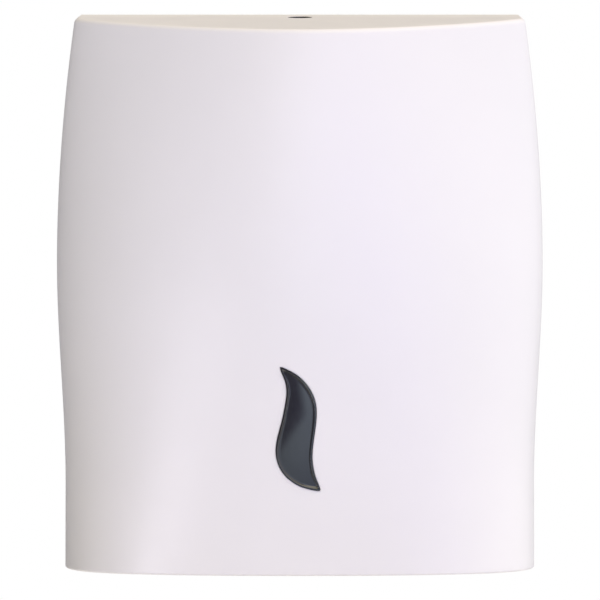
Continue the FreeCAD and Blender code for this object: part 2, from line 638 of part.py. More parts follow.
def latch_clip():
    ring = rod(CLIP_OUTER, lock_point(clip_bottom()), lock_point(clip_bottom() + CLIP_HEIGHT))
    bore = STEM - 2 * GROOVE_DEPTH + 2 * STEM_HOLE_FIT
    ring = ring.cut(rod(bore, lock_point(clip_bottom() - 1), lock_point(clip_bottom() + 2 * CLIP_HEIGHT)))
    mouth = box(-bore / 2 + 0.4, bore / 2 - 0.4, -LOCK_IN - CLIP_OUTER, -LOCK_IN, -BIG, BIG)
    return ring.cut(mouth)


# --- cover catch --------------------------------------------------------------
def on_top_wall(shape):
    """Place a shape built with Z = 0 on the top wall's underside over the lock's axis."""
    base = FreeCAD.Placement(V(0, -LOCK_IN, top_height(-LOCK_IN, WALL)), FreeCAD.Rotation(X_AXIS, TOP_SLOPE))
    return shape.transformGeometry(base.toMatrix())


def catch_screw_places():
    return [(side * CATCH_SCREW_X, LOCK_IN - y_in) for side in (-1, 1) for y_in in CATCH_SCREW_IN]


def cover_catch():
    top, low = -CATCH_DROP, -CATCH_DROP - CATCH_PLATE
    plate = box(-CATCH_HALF_WIDTH, CATCH_HALF_WIDTH, LOCK_IN - CATCH_FRONT, LOCK_IN - CATCH_REAR, low, top)
    plate = plate.cut(box(-CATCH_MOUTH, CATCH_MOUTH, LOCK_IN - CATCH_MOUTH_FRONT, BIG, low - 1, top + 1))
    for x, y in catch_screw_places():
        plate = plate.cut(rod(SHANK + 2 * SHANK_CLEAR, V(x, y, low - 1), V(x, y, top + 1)))
    catch = on_top_wall(plate)
    tab_front = -LOCK_IN + BAR_DEPTH / 2 + TAB_GAP
    tab_low = bar_top() + TAB_CLEAR
    plate_low = top_height(tab_front, WALL) - CATCH_DROP - CATCH_PLATE / 2
    x0 = CATCH_MOUTH
    x1 = x0 + TAB_WIDTH
    tab = prism([V(x0, tab_front, tab_low + 1), V(x0, tab_front, plate_low), V(x0, tab_front + TAB_THICKNESS, plate_low),
                 V(x0, tab_front + TAB_THICKNESS, tab_low), V(x0, tab_front + 1, tab_low)], V(x1 - x0, 0, 0))
    brace = prism([V(x1 - RIB, tab_front, plate_low), V(x1 - RIB, tab_front - 5, plate_low - 1),
                   V(x1 - RIB, tab_front, plate_low - 5)], V(RIB, 0, 0))
    for piece in both_sides(tab.fuse(brace)):
        catch = catch.fuse(piece)
    return catch.removeSplitter()


def catch_screws():
    length = CATCH_PLATE + CATCH_DROP - RIB_RELIEF
    low = -CATCH_DROP - CATCH_PLATE
    return Part.makeCompound([on_top_wall(tapping_screw(V(x, y, low), Z_AXIS, length)) for x, y in catch_screw_places()])


# --- sight window -------------------------------------------------------------
def grown(points, amount):
    """Points of one edge of the flame moved outwards, with the outline's inside on their right."""
    moved = []
    for i, point in enumerate(points):
        before = points[max(i - 1, 0)]
        after = points[min(i + 1, len(points) - 1)]
        dx, dz = after[0] - before[0], after[1] - before[1]
        size = math.hypot(dx, dz)
        moved.append((point[0] - dz / size * amount, point[1] + dx / size * amount))
    return moved


def flame_prism(grow, y_near, y_far):
    """Prism on the window's flame outline, grown by an amount, between two distances from the wall."""
    tips = []
    for tip, lean in ((WINDOW_RIGHT[0], 1), (WINDOW_RIGHT[-1], -1)):
        tips.append((tip[0] - lean * 1.2 * grow, tip[1] + lean * 1.6 * grow))
    right = [tips[0]] + grown(WINDOW_RIGHT, grow)[1:-1] + [tips[1]]
    left = [tips[1]] + grown(WINDOW_LEFT, grow)[1:-1] + [tips[0]]
    edges = []
    for side in (right, left):
        curve = Part.BSplineCurve()
        curve.interpolate([V(WINDOW_X + x, -y_near, WINDOW_Z + z) for x, z in side])
        edges.append(curve.toShape())
    return Part.Face(Part.Wire(edges)).extrude(V(0, y_near - y_far, 0))


def sight_window():
    """Smoked window: a plug with a raised rim and a dished face, and a flange behind the cover's wall."""
    deep = DEPTH_MAX + 10
    plug = flame_prism(-WINDOW_FIT, SIDE_FLAT, deep).common(case_solid(-WINDOW_PROUD))
    plug = plug.cut(case_solid(WALL + WINDOW_FLANGE_WALL))
    dish = flame_prism(-WINDOW_FIT - WINDOW_RIM, SIDE_FLAT, deep).cut(case_solid(WINDOW_DISH - WINDOW_PROUD))
    plug = plug.cut(dish)
    flange = flame_prism(WINDOW_FLANGE, SIDE_FLAT, deep)
    for x, z in STAKES:
        flange = flange.fuse(rod(2 * STAKE_LUG, V(WINDOW_X + x, -SIDE_FLAT, WINDOW_Z + z), V(WINDOW_X + x, -deep, WINDOW_Z + z)))
    flange = flange.common(case_solid(WALL)).cut(case_solid(WALL + WINDOW_FLANGE_WALL))
    for x, z in STAKES:
        hole = rod(STAKE_DIAMETER + 2 * WINDOW_FIT, V(WINDOW_X + x, 0, WINDOW_Z + z), V(WINDOW_X + x, -deep, WINDOW_Z + z))
        flange = flange.cut(hole)
    return plug.fuse(flange)


def stake_front(x, z):
    """Distance from the wall of the cover's inner face at a stake."""
    line = Part.makeLine(V(WINDOW_X + x, -SIDE_FLAT, WINDOW_Z + z), V(WINDOW_X + x, -2 * DEPTH_MAX, WINDOW_Z + z))
    inside = case_solid(WALL).common(line)
    return -inside.BoundBox.YMin


def window_push_nuts():
    nuts = []
    for x, z in STAKES:
        y = -(stake_front(x, z) - WINDOW_FLANGE_WALL - 2 * SEAT_GAP)
        place = V(WINDOW_X + x, y, WINDOW_Z + z)
        nut = Part.makeCylinder(NUT_DIAMETER / 2, NUT_HEIGHT, place, Y_AXIS)
        nuts.append(nut.cut(rod(STAKE_DIAMETER + 0.1, V(place.x, -BIG, place.z), V(place.x, 0, place.z))))
    return Part.makeCompound(nuts)


# --- cover --------------------------------------------------------------------
def front_cover(outer):
    inner = case_solid(WALL, foot_z=FOOT_Z - 1)
    cover = outer.common(slab(COVER_REAR, BIG)).cut(inner)

    # return flange along the lower front edge
    strip = case_solid(WALL).cut(case_solid(WALL + FOOT_FLANGE))
    cover = cover.fuse(strip.common(box(-BIG, BIG, -BIG, -FLANGE_START, FOOT_Z, FOOT_Z + WALL)))

    # the lower rear corners turn about the hinge axis
    corner = box(-BIG, BIG, -HINGE_IN, 0, FOOT_Z - 1, HINGE_Z)
    corner = corner.cut(rod(2 * CORNER_RADIUS, V(-BIG, -HINGE_IN, HINGE_Z), V(BIG, -HINGE_IN, HINGE_Z)))
    cover = cover.cut(corner)

    # hinge bosses
    x1 = half_width(HINGE_Z) - WALL
    for side in (-1, 1):
        boss = rod(HINGE_BOSS, V(side * (x1 - BOSS_REACH), -HINGE_IN, HINGE_Z), V(side * (x1 + WALL / 2), -HINGE_IN, HINGE_Z))
        hole = rod(PIN_DIAMETER + 2 * PIN_FIT, V(0, -HINGE_IN, HINGE_Z), V(side * x1, -HINGE_IN, HINGE_Z))
        cover = cover.fuse(boss).cut(hole)

    # stiffening ribs under the top wall
    for x in COVER_RIB_X:
        rib = prism([V(x, -COVER_RIB_START, top_height(-COVER_RIB_START, WALL / 2)),
                     V(x, -COVER_RIB_END, top_height(-COVER_RIB_END, WALL / 2)),
                     V(x, -COVER_RIB_START, top_height(-COVER_RIB_START, WALL + COVER_RIB_DROP))], V(RIB, 0, 0))
        for piece in both_sides(rib):
            cover = cover.fuse(piece)

    # catch bosses
    for x, y in catch_screw_places():
        boss = on_top_wall(rod(BOSS_DIAMETER + 1, V(x, y, -CATCH_DROP), V(x, y, WALL / 2)))
        hole = on_top_wall(rod(SHANK + 2 * SHANK_FIT, V(x, y, -CATCH_DROP - 1), V(x, y, -RIB_RELIEF / 2)))
        cover = cover.fuse(boss).cut(hole)

    # key hole, upright over the lock
    cover = cover.cut(rod(KEY_HOLE, lock_point(tube_top()), lock_point(TOP_Z + 1)))

    # window opening and its stakes
    cover = cover.cut(flame_prism(0, SIDE_FLAT, DEPTH_MAX + 10))
    for x, z in STAKES:
        front = stake_front(x, z)
        length = WINDOW_FLANGE_WALL + SEAT_GAP + 2 * NUT_HEIGHT
        cover = cover.fuse(rod(STAKE_DIAMETER, V(WINDOW_X + x, -(front + WALL / 2), WINDOW_Z + z),
                               V(WINDOW_X + x, -(front - length), WINDOW_Z + z)))
    return cover.removeSplitter()


def build():
    outer = outer_case()
    guides, tray, housing = wall_boss_pattern()
    return {
        "back_plate": back_plate(outer),
        "paper_tray": paper_tray(),
        "exit_throat": exit_throat(),
        "side_guide_left": side_guide(-1),
        "side_guide_right": side_guide(1),
        "guide_screws": web_screws(guides, WEB_FRONT + GUIDE_WALL),
        "tray_screws": web_screws(tray, WEB_FRONT + TRAY_BACK_WALL),
        "lock_housing": lock_housing(),
        "lock_housing_screws": web_screws(housing, WEB_FRONT + HOUSING_FLANGE),
        "lock_cap": lock_cap(),
        "lock_spring": lock_spring(),
        "hinge_pin_left": hinge_pin(-1),
        "hinge_pin_right": hinge_pin(1),
        "lock_plunger": lock_plunger(),
        "latch_bar": latch_bar(),
        "latch_clip": latch_clip(),
        "front_cover": front_cover(outer),
        "sight_window": sight_window(),
        "window_push_nuts": window_push_nuts(),
        "cover_catch": cover_catch(),
        "catch_screws": catch_screws(),
    }


os.makedirs("parts", exist_ok=True)
for name, shape in build().items():
    solids = len(shape.Solids)
    print(f"{name:22s} solids {solids}  valid {shape.isValid()}  volume {shape.Volume / 1000:8.2f} cm3")
    shape.exportStep(f"parts/{name}.step")
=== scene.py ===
# %% [markdown]
# # A wall dispenser for folded paper towels
# This lesson dresses a finished mechanical model. The model arrives as a fixed frame: named
# parts, already in place, that ride on three bodies: the case on the wall, the cover that drops
# open, and the lock in the top. We keep every part where it is and give each one the surface, the
# rounded edges and the finish of the real thing.

# %% Load the frame and remember its size
import bpy
import bmesh
import json
import math
from mathutils import Matrix, Vector
from mathutils.geometry import interpolate_bezier


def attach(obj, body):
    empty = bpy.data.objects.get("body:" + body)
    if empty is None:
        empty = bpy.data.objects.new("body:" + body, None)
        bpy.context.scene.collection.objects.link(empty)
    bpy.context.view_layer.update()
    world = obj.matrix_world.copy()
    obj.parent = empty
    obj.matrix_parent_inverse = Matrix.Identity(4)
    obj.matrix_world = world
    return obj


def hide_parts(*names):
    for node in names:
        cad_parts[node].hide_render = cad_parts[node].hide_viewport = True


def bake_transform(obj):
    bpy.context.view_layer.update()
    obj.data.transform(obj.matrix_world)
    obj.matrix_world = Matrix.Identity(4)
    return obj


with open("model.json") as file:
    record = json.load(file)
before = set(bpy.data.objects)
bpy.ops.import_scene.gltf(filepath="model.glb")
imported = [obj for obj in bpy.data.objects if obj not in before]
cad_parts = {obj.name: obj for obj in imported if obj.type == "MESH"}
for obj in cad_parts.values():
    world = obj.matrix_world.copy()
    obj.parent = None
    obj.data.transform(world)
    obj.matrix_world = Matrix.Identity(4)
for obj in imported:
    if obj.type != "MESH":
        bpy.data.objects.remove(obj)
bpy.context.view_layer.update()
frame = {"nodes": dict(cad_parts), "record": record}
nodes = frame["nodes"]

# %% [markdown]
# ## The camera
# The dispenser is seen straight from the front, a little below its middle line, from more than
# two metres away with a long lens. A long lens keeps the sides nearly parallel, and the top face
# still shows as a thin crescent because it slopes down towards the viewer. The camera looks up by
# half a degree, and a very small shift centres the view.

# %% Camera
IMAGE = 600                      # pixels, the picture is square
FOCAL_PIXELS = 3945.0
SENSOR = 36.0                    # mm
SHIFT_PIXELS = (0.2, 0.5)
CAMERA_PLACE = (0, -2.30, -0.0295)
CAMERA_TILT = 90.565             # degrees, where 90 looks level

camera_data = bpy.data.cameras.new("camera")
camera_data.sensor_width = SENSOR
camera_data.lens = FOCAL_PIXELS * SENSOR / IMAGE
camera_data.shift_x = SHIFT_PIXELS[0] / IMAGE
camera_data.shift_y = SHIFT_PIXELS[1] / IMAGE
camera_data.clip_start, camera_data.clip_end = 0.05, 50
camera = bpy.data.objects.new("camera", camera_data)
camera.location = CAMERA_PLACE
camera.rotation_euler = (math.radians(CAMERA_TILT), 0, 0)
bpy.context.scene.collection.objects.link(camera)
bpy.context.scene.camera = camera
print("lens, mm", round(camera_data.lens, 1))

# %% [markdown]
# ## The form of the case
# Everything outside follows one form: it is widest a little above half height, deepest a little
# below it, and its plan is a flat side that turns into a full, almost elliptical front. We write
# that form once, as a few plain functions in millimetres. The cover and the window are made by
# moving flat grids onto it. A grid with even rows gives smooth highlights, which is what the eye
# looks for on a glossy moulding.

# %% The outline in numbers
HEIGHT = 320.0
WIDTH_MAX, WIDTH_TOP, WIDTH_FOOT = 280.0, 258.5, 269.5
WIDEST_HEIGHT, PARALLEL_HEIGHT = 176.0, 47.0
DEPTH_MAX, DEPTH_TOP, DEPTH_FOOT = 128.0, 104.0, 122.0
DEEPEST_HEIGHT = 144.0
SIDE_FLAT = 25.0                 # depth of the flat side, from the wall
FRONT_PULL = (0.74, 0.44)        # the plan curve's handle in the middle, at the foot and the top
SIDE_PULL = (0.72, 0.18)         # its handle at the side
NARROWING = 1.9                  # how late the sides draw in towards the top
FOOT_Z, TOP_Z = -HEIGHT / 2, HEIGHT / 2
SLOPE = math.tan(math.radians(9.0))                # the top falls towards the front
WALL = 2.5
COVER_REAR = 10.4                # the cover's rear edge, from the wall
TURN_SHARE = 0.88                # share of the columns that lie on the curved front
LOCK_Y, KEY_HOLE = -19.0, 14.0   # the lock's axis, and the hole above it
HALVINGS = 26                    # steps of the search for a point on the front


def half_width(z):
    """Half the case's width at height z."""
    widest = FOOT_Z + WIDEST_HEIGHT
    if z > widest:
        share = (z - widest) / (TOP_Z - widest)
        return (WIDTH_MAX - (WIDTH_MAX - WIDTH_TOP) * share ** NARROWING) / 2
    share = min(1.0, (widest - z) / (widest - FOOT_Z - PARALLEL_HEIGHT))
    return (WIDTH_MAX - (WIDTH_MAX - WIDTH_FOOT) * share * share * (3 - 2 * share)) / 2


def front_depth(z):
    """Distance of the front from the wall at height z."""
    deepest = FOOT_Z + DEEPEST_HEIGHT
    if z > deepest:
        return DEPTH_MAX - (DEPTH_MAX - DEPTH_TOP) * ((z - deepest) / (TOP_Z - deepest)) ** 2
    return DEPTH_MAX - (DEPTH_MAX - DEPTH_FOOT) * ((deepest - z) / DEEPEST_HEIGHT) ** 2


def top_height(y, inset=0.0):
    """Height of the sloping top at y, or of a plane inset below it."""
    return TOP_Z + y * SLOPE - inset * math.hypot(1, SLOPE)


def front_curve(t, z, inset=0.0):
    """Point (x, y) on the right half of the front: t is 0 in the middle and 1 at the side."""
    a, d = half_width(z) - inset, front_depth(z) - inset
    share = (z - FOOT_Z) / HEIGHT
    pull_x = FRONT_PULL[0] + (FRONT_PULL[1] - FRONT_PULL[0]) * share
    pull_y = SIDE_PULL[0] + (SIDE_PULL[1] - SIDE_PULL[0]) * share
    reach = d - SIDE_FLAT
    r = 1 - t
    x = 3 * r * r * t * pull_x * a + 3 * r * t * t * a + t ** 3 * a
    y = -d * (r ** 3 + 3 * r * r * t) - 3 * r * t * t * (SIDE_FLAT + pull_y * reach)
    return x, y - t ** 3 * SIDE_FLAT


def outline_point(m, z, rear):
    """Point (x, y) on the right half of the plan: m is 0 in the middle and 1 at the rear edge."""
    if m < TURN_SHARE:
        return front_curve(m / TURN_SHARE, z)
    share = (m - TURN_SHARE) / (1 - TURN_SHARE)
    return half_width(z), -SIDE_FLAT + share * (SIDE_FLAT - rear)


def front_y(x, z, inset=0.0):
    """The front surface's y at x and z."""
    low, high = 0.0, 1.0
    for _ in range(HALVINGS):
        middle = (low + high) / 2
        if front_curve(middle, z, inset)[0] < abs(x):
            low = middle
        else:
            high = middle
    return front_curve(low, z, inset)[1]


print("front in the middle, mm", round(front_y(0, 0), 2), "side, mm", round(half_width(0), 2))

# %% [markdown]
# ## Helpers for modelling
# Each piece starts as a bmesh in millimetres. A grid, a rod or a block comes from an operator,
# and booleans join or cut them. A later helper turns the result into an object in metres that
# rides on its body. Every object stays at the origin with its place in its mesh, as the frame's
# own nodes do.

# %% Grid, rod and prism
MM = 0.001
MERGE = 1e-4                     # mm, vertices nearer than this are one
NEAR = 0.01                      # mm, a vertex nearer than this lies on a plane


def formed_grid(columns, rows, place):
    """A flat grid whose vertices are moved to place(u, v), with u and v from 0 to 1."""
    bm = bmesh.new()
    bmesh.ops.create_grid(bm, x_segments=columns, y_segments=rows, size=0.5)
    for v in bm.verts:
        v.co = place(min(1.0, max(0.0, v.co.x + 0.5)), min(1.0, max(0.0, v.co.y + 0.5)))
    return bm


def add_rod(bm, diameter, start, end, segments=48):
    """Adds a capped cylinder between two points."""
    start, end = Vector(start), Vector(end)
    turn = (end - start).to_track_quat("Z", "Y").to_matrix().to_4x4()
    middle = Matrix.Translation((start + end) / 2)
    bmesh.ops.create_cone(bm, cap_ends=True, segments=segments, radius1=diameter / 2,
                          radius2=diameter / 2, depth=(end - start).length, matrix=middle @ turn)


def add_prism(bm, points, along):
    """Adds a straight extrusion of a polygon."""
    face = bm.faces.new([bm.verts.new(p) for p in points])
    made = bmesh.ops.extrude_face_region(bm, geom=[face])["geom"]
    bmesh.ops.translate(bm, vec=along, verts=[g for g in made if isinstance(g, bmesh.types.BMVert)])


def closed(bm):
    """Merges the seam, fills the ends and points the faces outwards."""
    bmesh.ops.remove_doubles(bm, verts=bm.verts, dist=MERGE)
    bmesh.ops.dissolve_degenerate(bm, dist=MERGE / 10, edges=bm.edges)
    bmesh.ops.holes_fill(bm, edges=[e for e in bm.edges if e.is_boundary])
    bmesh.ops.recalc_face_normals(bm, faces=bm.faces)
    return bm


def joined(*parts):
    """One bmesh from several, which are used up."""
    whole = bmesh.new()
    for part in parts:
        mesh = bpy.data.meshes.new("part")
        part.to_mesh(mesh)
        part.free()
        whole.from_mesh(mesh)
        bpy.data.meshes.remove(mesh)
    return whole


sample = formed_grid(2, 2, lambda u, v: Vector((u, 0, v)))
print("a grid of 2 by 2 has", len(sample.verts), "vertices")
sample.free()


# %% Booleans
def evaluated(obj):
    """A new bmesh of an object with its modifiers, and the object is removed."""
    graph = bpy.context.evaluated_depsgraph_get()
    mesh = bpy.data.meshes.new_from_object(obj.evaluated_get(graph))
    bm = bmesh.new()
    bm.from_mesh(mesh)
    bpy.data.meshes.remove(mesh)
    bpy.data.objects.remove(obj)
    return bm


def as_object(bm, name):
    """A plain object from a bmesh, which is used up."""
    mesh = bpy.data.meshes.new(name)
    bm.to_mesh(mesh)
    bm.free()
    obj = bpy.data.objects.new(name, mesh)
    bpy.context.scene.collection.objects.link(obj)
    return obj


def combine(body, tool, operation):
    """Boolean of two bmeshes: DIFFERENCE or UNION. Both are used up."""
    target, cutter = as_object(body, "target"), as_object(tool, "cutter")
    modifier = target.modifiers.new("boolean", "BOOLEAN")
    modifier.operation, modifier.solver, modifier.object = operation, "EXACT", cutter
    made = evaluated(target)
    bpy.data.objects.remove(cutter)
    bmesh.ops.dissolve_degenerate(made, dist=MERGE, edges=made.edges)
    return made


bar, bore = bmesh.new(), bmesh.new()
add_rod(bar, 4, (0, 0, 0), (0, 0, 10))
add_rod(bore, 2, (0, 0, -1), (0, 0, 11))
tube = combine(bar, bore, "DIFFERENCE")
print("a bored rod has a volume in mm3 of", round(tube.calc_volume(), 1))
tube.free()

# %% [markdown]
# ## Finishes
# The case is moulded in white plastic with a satin skin: the mould is lightly textured, so the
# surface breaks up the light in specks much smaller than a millimetre, and large areas drift very
# slightly in tone and gloss. Both come from noise on object coordinates, which stay with the
# piece when the cover swings. The cover has one place of painted shade, the wall of its key hole:
# it is painted near black where it lies within a radius of the lock's axis. Values that are the
# same all over are set straight on the shader.


# %% A moulded plastic
def noise(tree, scale, detail, coordinates):
    """Noise values around a half."""
    node = tree.nodes.new("ShaderNodeTexNoise")
    node.inputs["Scale"].default_value = scale
    node.inputs["Detail"].default_value = detail
    tree.links.new(coordinates, node.inputs["Vector"])
    return node.outputs["Fac"]


def roughened(tree, shader, value, low, high):
    """Lets the roughness drift between low and high with a noise value."""
    node = tree.nodes.new("ShaderNodeMapRange")
    node.inputs["From Min"].default_value = 0.3
    node.inputs["From Max"].default_value = 0.7
    node.inputs["To Min"].default_value = low
    node.inputs["To Max"].default_value = high
    tree.links.new(value, node.inputs["Value"])
    tree.links.new(node.outputs["Result"], shader.inputs["Roughness"])


def new_finish(name):
    """A material, its node tree, its shader and the object coordinates."""
    material = bpy.data.materials.new(name)
    material.use_nodes = True
    tree = material.node_tree
    shader = tree.nodes["Principled BSDF"]
    coordinates = tree.nodes.new("ShaderNodeTexCoord").outputs["Object"]
    return material, tree, shader, coordinates


def tinted(tree, shader, value, colour, drift):
    """Lets the base colour drift between two near shades."""
    ramp = tree.nodes.new("ShaderNodeValToRGB")
    low, high = ramp.color_ramp.elements
    low.position, high.position = 0.35, 0.65
    low.color = [c * (1 - drift) for c in colour] + [1]
    high.color = [min(1.0, c * (1 + drift)) for c in colour] + [1]
    tree.links.new(value, ramp.inputs["Fac"])
    tree.links.new(ramp.outputs["Color"], shader.inputs["Base Color"])


def bumped(tree, shader, value, strength, distance):
    """Breaks up the reflections with a fine relief."""
    bump = tree.nodes.new("ShaderNodeBump")
    bump.inputs["Strength"].default_value = strength
    bump.inputs["Distance"].default_value = distance
    tree.links.new(value, bump.inputs["Height"])
    tree.links.new(bump.outputs["Normal"], shader.inputs["Normal"])


TONE_SCALE, GLOSS_SCALE = 9, 60
GRAIN_DEPTH = 0.00004            # m


def moulded(name, colour, gloss, grain, strength, drift=0.012):
    """Moulded plastic with a fine mould texture: gloss is (lowest, highest) roughness."""
    material, tree, shader, at = new_finish(name)
    tinted(tree, shader, noise(tree, TONE_SCALE, 3, at), colour, drift)
    roughened(tree, shader, noise(tree, GLOSS_SCALE, 4, at), *gloss)
    bumped(tree, shader, noise(tree, grain, 2, at), strength, GRAIN_DEPTH)
    shader.inputs["IOR"].default_value = 1.5
    return material


def painted_hole_shade(material, y, radius, colour):
    """Painted shade: darkens the plastic within a radius of the upright axis at y in the middle
    plane.
    """
    tree = material.node_tree
    base = tree.nodes["Principled BSDF"].inputs["Base Color"]
    plan = tree.nodes.new("ShaderNodeVectorMath")
    plan.operation = "MULTIPLY_ADD"
    plan.inputs[1].default_value = (1, 1, 0)
    plan.inputs[2].default_value = (0, -y, 0)
    tree.links.new(tree.nodes.new("ShaderNodeTexCoord").outputs["Object"], plan.inputs[0])
    far = tree.nodes.new("ShaderNodeVectorMath")
    far.operation = "LENGTH"
    tree.links.new(plan.outputs[0], far.inputs[0])
    near = tree.nodes.new("ShaderNodeMath")
    near.operation = "LESS_THAN"
    near.inputs[1].default_value = radius
    tree.links.new(far.outputs["Value"], near.inputs[0])
    mix = tree.nodes.new("ShaderNodeMix")
    mix.data_type = "RGBA"
    tree.links.new(near.outputs[0], mix.inputs["Factor"])
    tree.links.new(base.links[0].from_socket, mix.inputs["A"])
    mix.inputs["B"].default_value = [*colour, 1]
    tree.links.new(mix.outputs["Result"], base)


FINISHES = {
    "cover_white": moulded("cover_white", (0.80, 0.795, 0.80), (0.30, 0.38), 2600, 0.22),
    "case_white": moulded("case_white", (0.77, 0.765, 0.76), (0.44, 0.54), 1900, 0.35),
    "lock_grey": moulded("lock_grey", (0.045, 0.046, 0.05), (0.34, 0.46), 2200, 0.30, 0.08),
}
HOLE_SHADE_RADIUS = KEY_HOLE / 2 + 0.15                  # just past the wall of the hole
# painted shade: the wall of the key hole is painted near black, in place of the shade in the hole
painted_hole_shade(FINISHES["cover_white"], LOCK_Y * MM, HOLE_SHADE_RADIUS * MM, (0.03, 0.028, 0.026))
print("plastics", *FINISHES)


# %% Zinc plated steel and smoked plastic
def plated(name):
    """Zinc plate: bright metal whose gloss and tone vary in small clouds."""
    material, tree, shader, at = new_finish(name)
    shader.inputs["Metallic"].default_value = 1.0
    tinted(tree, shader, noise(tree, 700, 4, at), (0.60, 0.605, 0.60), 0.10)
    roughened(tree, shader, noise(tree, 1500, 3, at), 0.20, 0.38)
    bumped(tree, shader, noise(tree, 5000, 2, at), 0.15, 0.00002)
    return material


def smoked(name):
    """Smoked plastic, polished: nearly black inside, with a clear reflection on top."""
    material, tree, shader, at = new_finish(name)
    tinted(tree, shader, noise(tree, 40, 2, at), (0.016, 0.017, 0.019), 0.10)
    roughened(tree, shader, noise(tree, 300, 3, at), 0.05, 0.09)
    bumped(tree, shader, noise(tree, 900, 2, at), 0.03, 0.00003)
    shader.inputs["IOR"].default_value = 1.58
    shader.inputs["Coat Weight"].default_value = 0.6
    shader.inputs["Coat Roughness"].default_value = 0.03
    return material


FINISHES["zinc_steel"] = plated("zinc_steel")
FINISHES["window_smoke"] = smoked("window_smoke")
for row in frame["record"]["subparts"]:
    mesh = nodes[row["node"]].data
    mesh.materials.clear()
    mesh.materials.append(FINISHES[row["material_slot"]])

# %% [markdown]
# ## Finished pieces
# Each finish belongs to one slot and bears its name. One helper takes a bmesh in millimetres,
# gives it its finish and its sharp edges, lets it ride on its body, and hides the node of the
# frame it stands for.


# %% From a bmesh to a finished piece
def piece(bm, name, body, slot, stands_for, sharp=34):
    """A finished piece that rides on a body, or whose place is only baked into its mesh when body
    is not a name: sharp is in degrees.
    """
    bmesh.ops.scale(bm, vec=(MM, MM, MM), verts=bm.verts)
    obj = as_object(bm, name)
    obj.data.shade_smooth()
    obj.data.set_sharp_from_angle(angle=math.radians(sharp))
    obj.data.materials.append(FINISHES[slot])
    if isinstance(body, str):
        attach(obj, body)
    else:
        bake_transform(obj)
    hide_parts(*stands_for)
    print(name, len(obj.data.polygons), "faces")
    return obj


def even_normals(obj):
    """Large faces lead the shading, so that they stay flat right up to their rounded edges."""
    modifier = obj.modifiers.new("even normals", "WEIGHTED_NORMAL")
    modifier.keep_sharp = True


print("slots", len(FINISHES))

# %% [markdown]
# ## The flame-shaped window outline
# The sight window is a flame: two curved edges that run from an upper tip to a lower tip. We take
# a few points on each edge, draw a smooth line through them, and can move the points outwards or
# inwards to get the opening, the rim and the flange from the same line.

# %% A smooth line through points
CURVE_STEPS = 24                 # fine steps between two given points


def smooth_line(points, count):
    """count + 1 points, evenly spaced, on a smooth line through the given points (x, z)."""
    knots = [Vector((x, 0, z)) for x, z in points]
    fine = []
    for i in range(len(knots) - 1):
        a, b = knots[i], knots[i + 1]
        before = knots[i - 1] if i else a * 2 - b
        after = knots[i + 2] if i + 2 < len(knots) else b * 2 - a
        third = (b - a).length / 3
        fine += interpolate_bezier(a, a + (b - before).normalized() * third,
                                   b - (after - a).normalized() * third, b, CURVE_STEPS)[:-1]
    fine.append(knots[-1])
    run = [0.0]
    for a, b in zip(fine, fine[1:]):
        run.append(run[-1] + (b - a).length)
    line, j = [], 0
    for i in range(count + 1):
        wanted = run[-1] * i / count
        while j < len(run) - 2 and run[j + 1] < wanted:
            j += 1
        share = (wanted - run[j]) / max(run[j + 1] - run[j], 1e-9)
        line.append(fine[j].lerp(fine[j + 1], min(1.0, share)))
    return line


print("a smooth line of", len(smooth_line(((0, 0), (1, 1), (2, 0)), 10)), "points")

# %% The flame's outline
WINDOW_Z = -78.0
UPPER_TIP, LOWER_TIP = (-11.7, 34.1), (12.1, -35.6)
RIGHT_EDGE = ((-0.5, 28.0), (6.8, 18.9), (9.2, 8.5), (6.8, -15.5), (8.2, -26.0))
LEFT_EDGE = ((-7.3, 22.0), (-8.9, 8.0), (-13.3, -12.5), (-10.2, -24.0), (-1.0, -32.0))
FLAME_ROWS = 96
TIP_GROWTH = (1.2, 1.6)          # how far a tip moves sideways and upwards for 1 mm of growth
TIP_PASSES = 8                   # smoothing of the outline, which rounds its two tips


def flame_edge(between, side, grow):
    """One edge from the upper tip to the lower one, grown outwards: side is 1 right, -1 left."""
    points = (UPPER_TIP, *between, LOWER_TIP)
    moved = [(UPPER_TIP[0] - TIP_GROWTH[0] * grow, UPPER_TIP[1] + TIP_GROWTH[1] * grow)]
    for before, (x, z), after in zip(points, between, points[2:]):
        dx, dz = after[0] - before[0], after[1] - before[1]
        size = math.hypot(dx, dz)
        moved.append((x - side * dz / size * grow, z + side * dx / size * grow))
    moved.append((LOWER_TIP[0] + TIP_GROWTH[0] * grow, LOWER_TIP[1] - TIP_GROWTH[1] * grow))
    place = Vector((0, 0, WINDOW_Z))
    return [p + place for p in smooth_line(moved, FLAME_ROWS)]


def flame_loop(grow):
    """The closed outline: down the right edge and back up the left one."""
    right, left = flame_edge(RIGHT_EDGE, 1, grow), flame_edge(LEFT_EDGE, -1, grow)
    loop = right + left[-2:0:-1]
    for _ in range(TIP_PASSES):
        loop = [(loop[i - 1] + 2 * p + loop[(i + 1) % len(loop)]) / 4 for i, p in enumerate(loop)]
    return loop


outline = flame_loop(0)
print("flame, mm", round(max(p.x for p in outline) - min(p.x for p in outline), 1), "x",
      round(max(p.z for p in outline) - min(p.z for p in outline), 1))


# %% A skin round the flame
def flame_skin(levels):
    """Skin round the flame through levels of (growth, place), where place(x, z) gives y."""
    loops = [flame_loop(grow) for grow, _ in levels]
    count = len(loops[0])

    def place(u, v):
        i, j = round(u * count) % count, round(v * (len(levels) - 1))
        p = loops[j][i]
        return Vector((p.x, levels[j][1](p.x, p.z), p.z))

    return formed_grid(count, len(levels) - 1, place)


def flush(proud):
    """A place that stands proud of the cover's front by so much, or lies below it if negative."""
    return lambda x, z: front_y(x, z) - proud


def at_y(y):
    """A place in an upright plane."""
    return lambda x, z: y


print("front at the window, mm", round(flush(0)(0, WINDOW_Z), 2))

# %% [markdown]
# ## The cover
# The cover is one thin moulding, 2.5 mm thick: bowed front, sides and a sloping top in one skin.
# A grid is moved onto the form, its top edge is closed by one flat face, and that edge is rounded
# with a bevel, because a moulding never has a knife edge there. Solidify then gives the wall its
# thickness. The rear and lower edges are made flat, and the outer and inner edges at the foot are
# rounded.

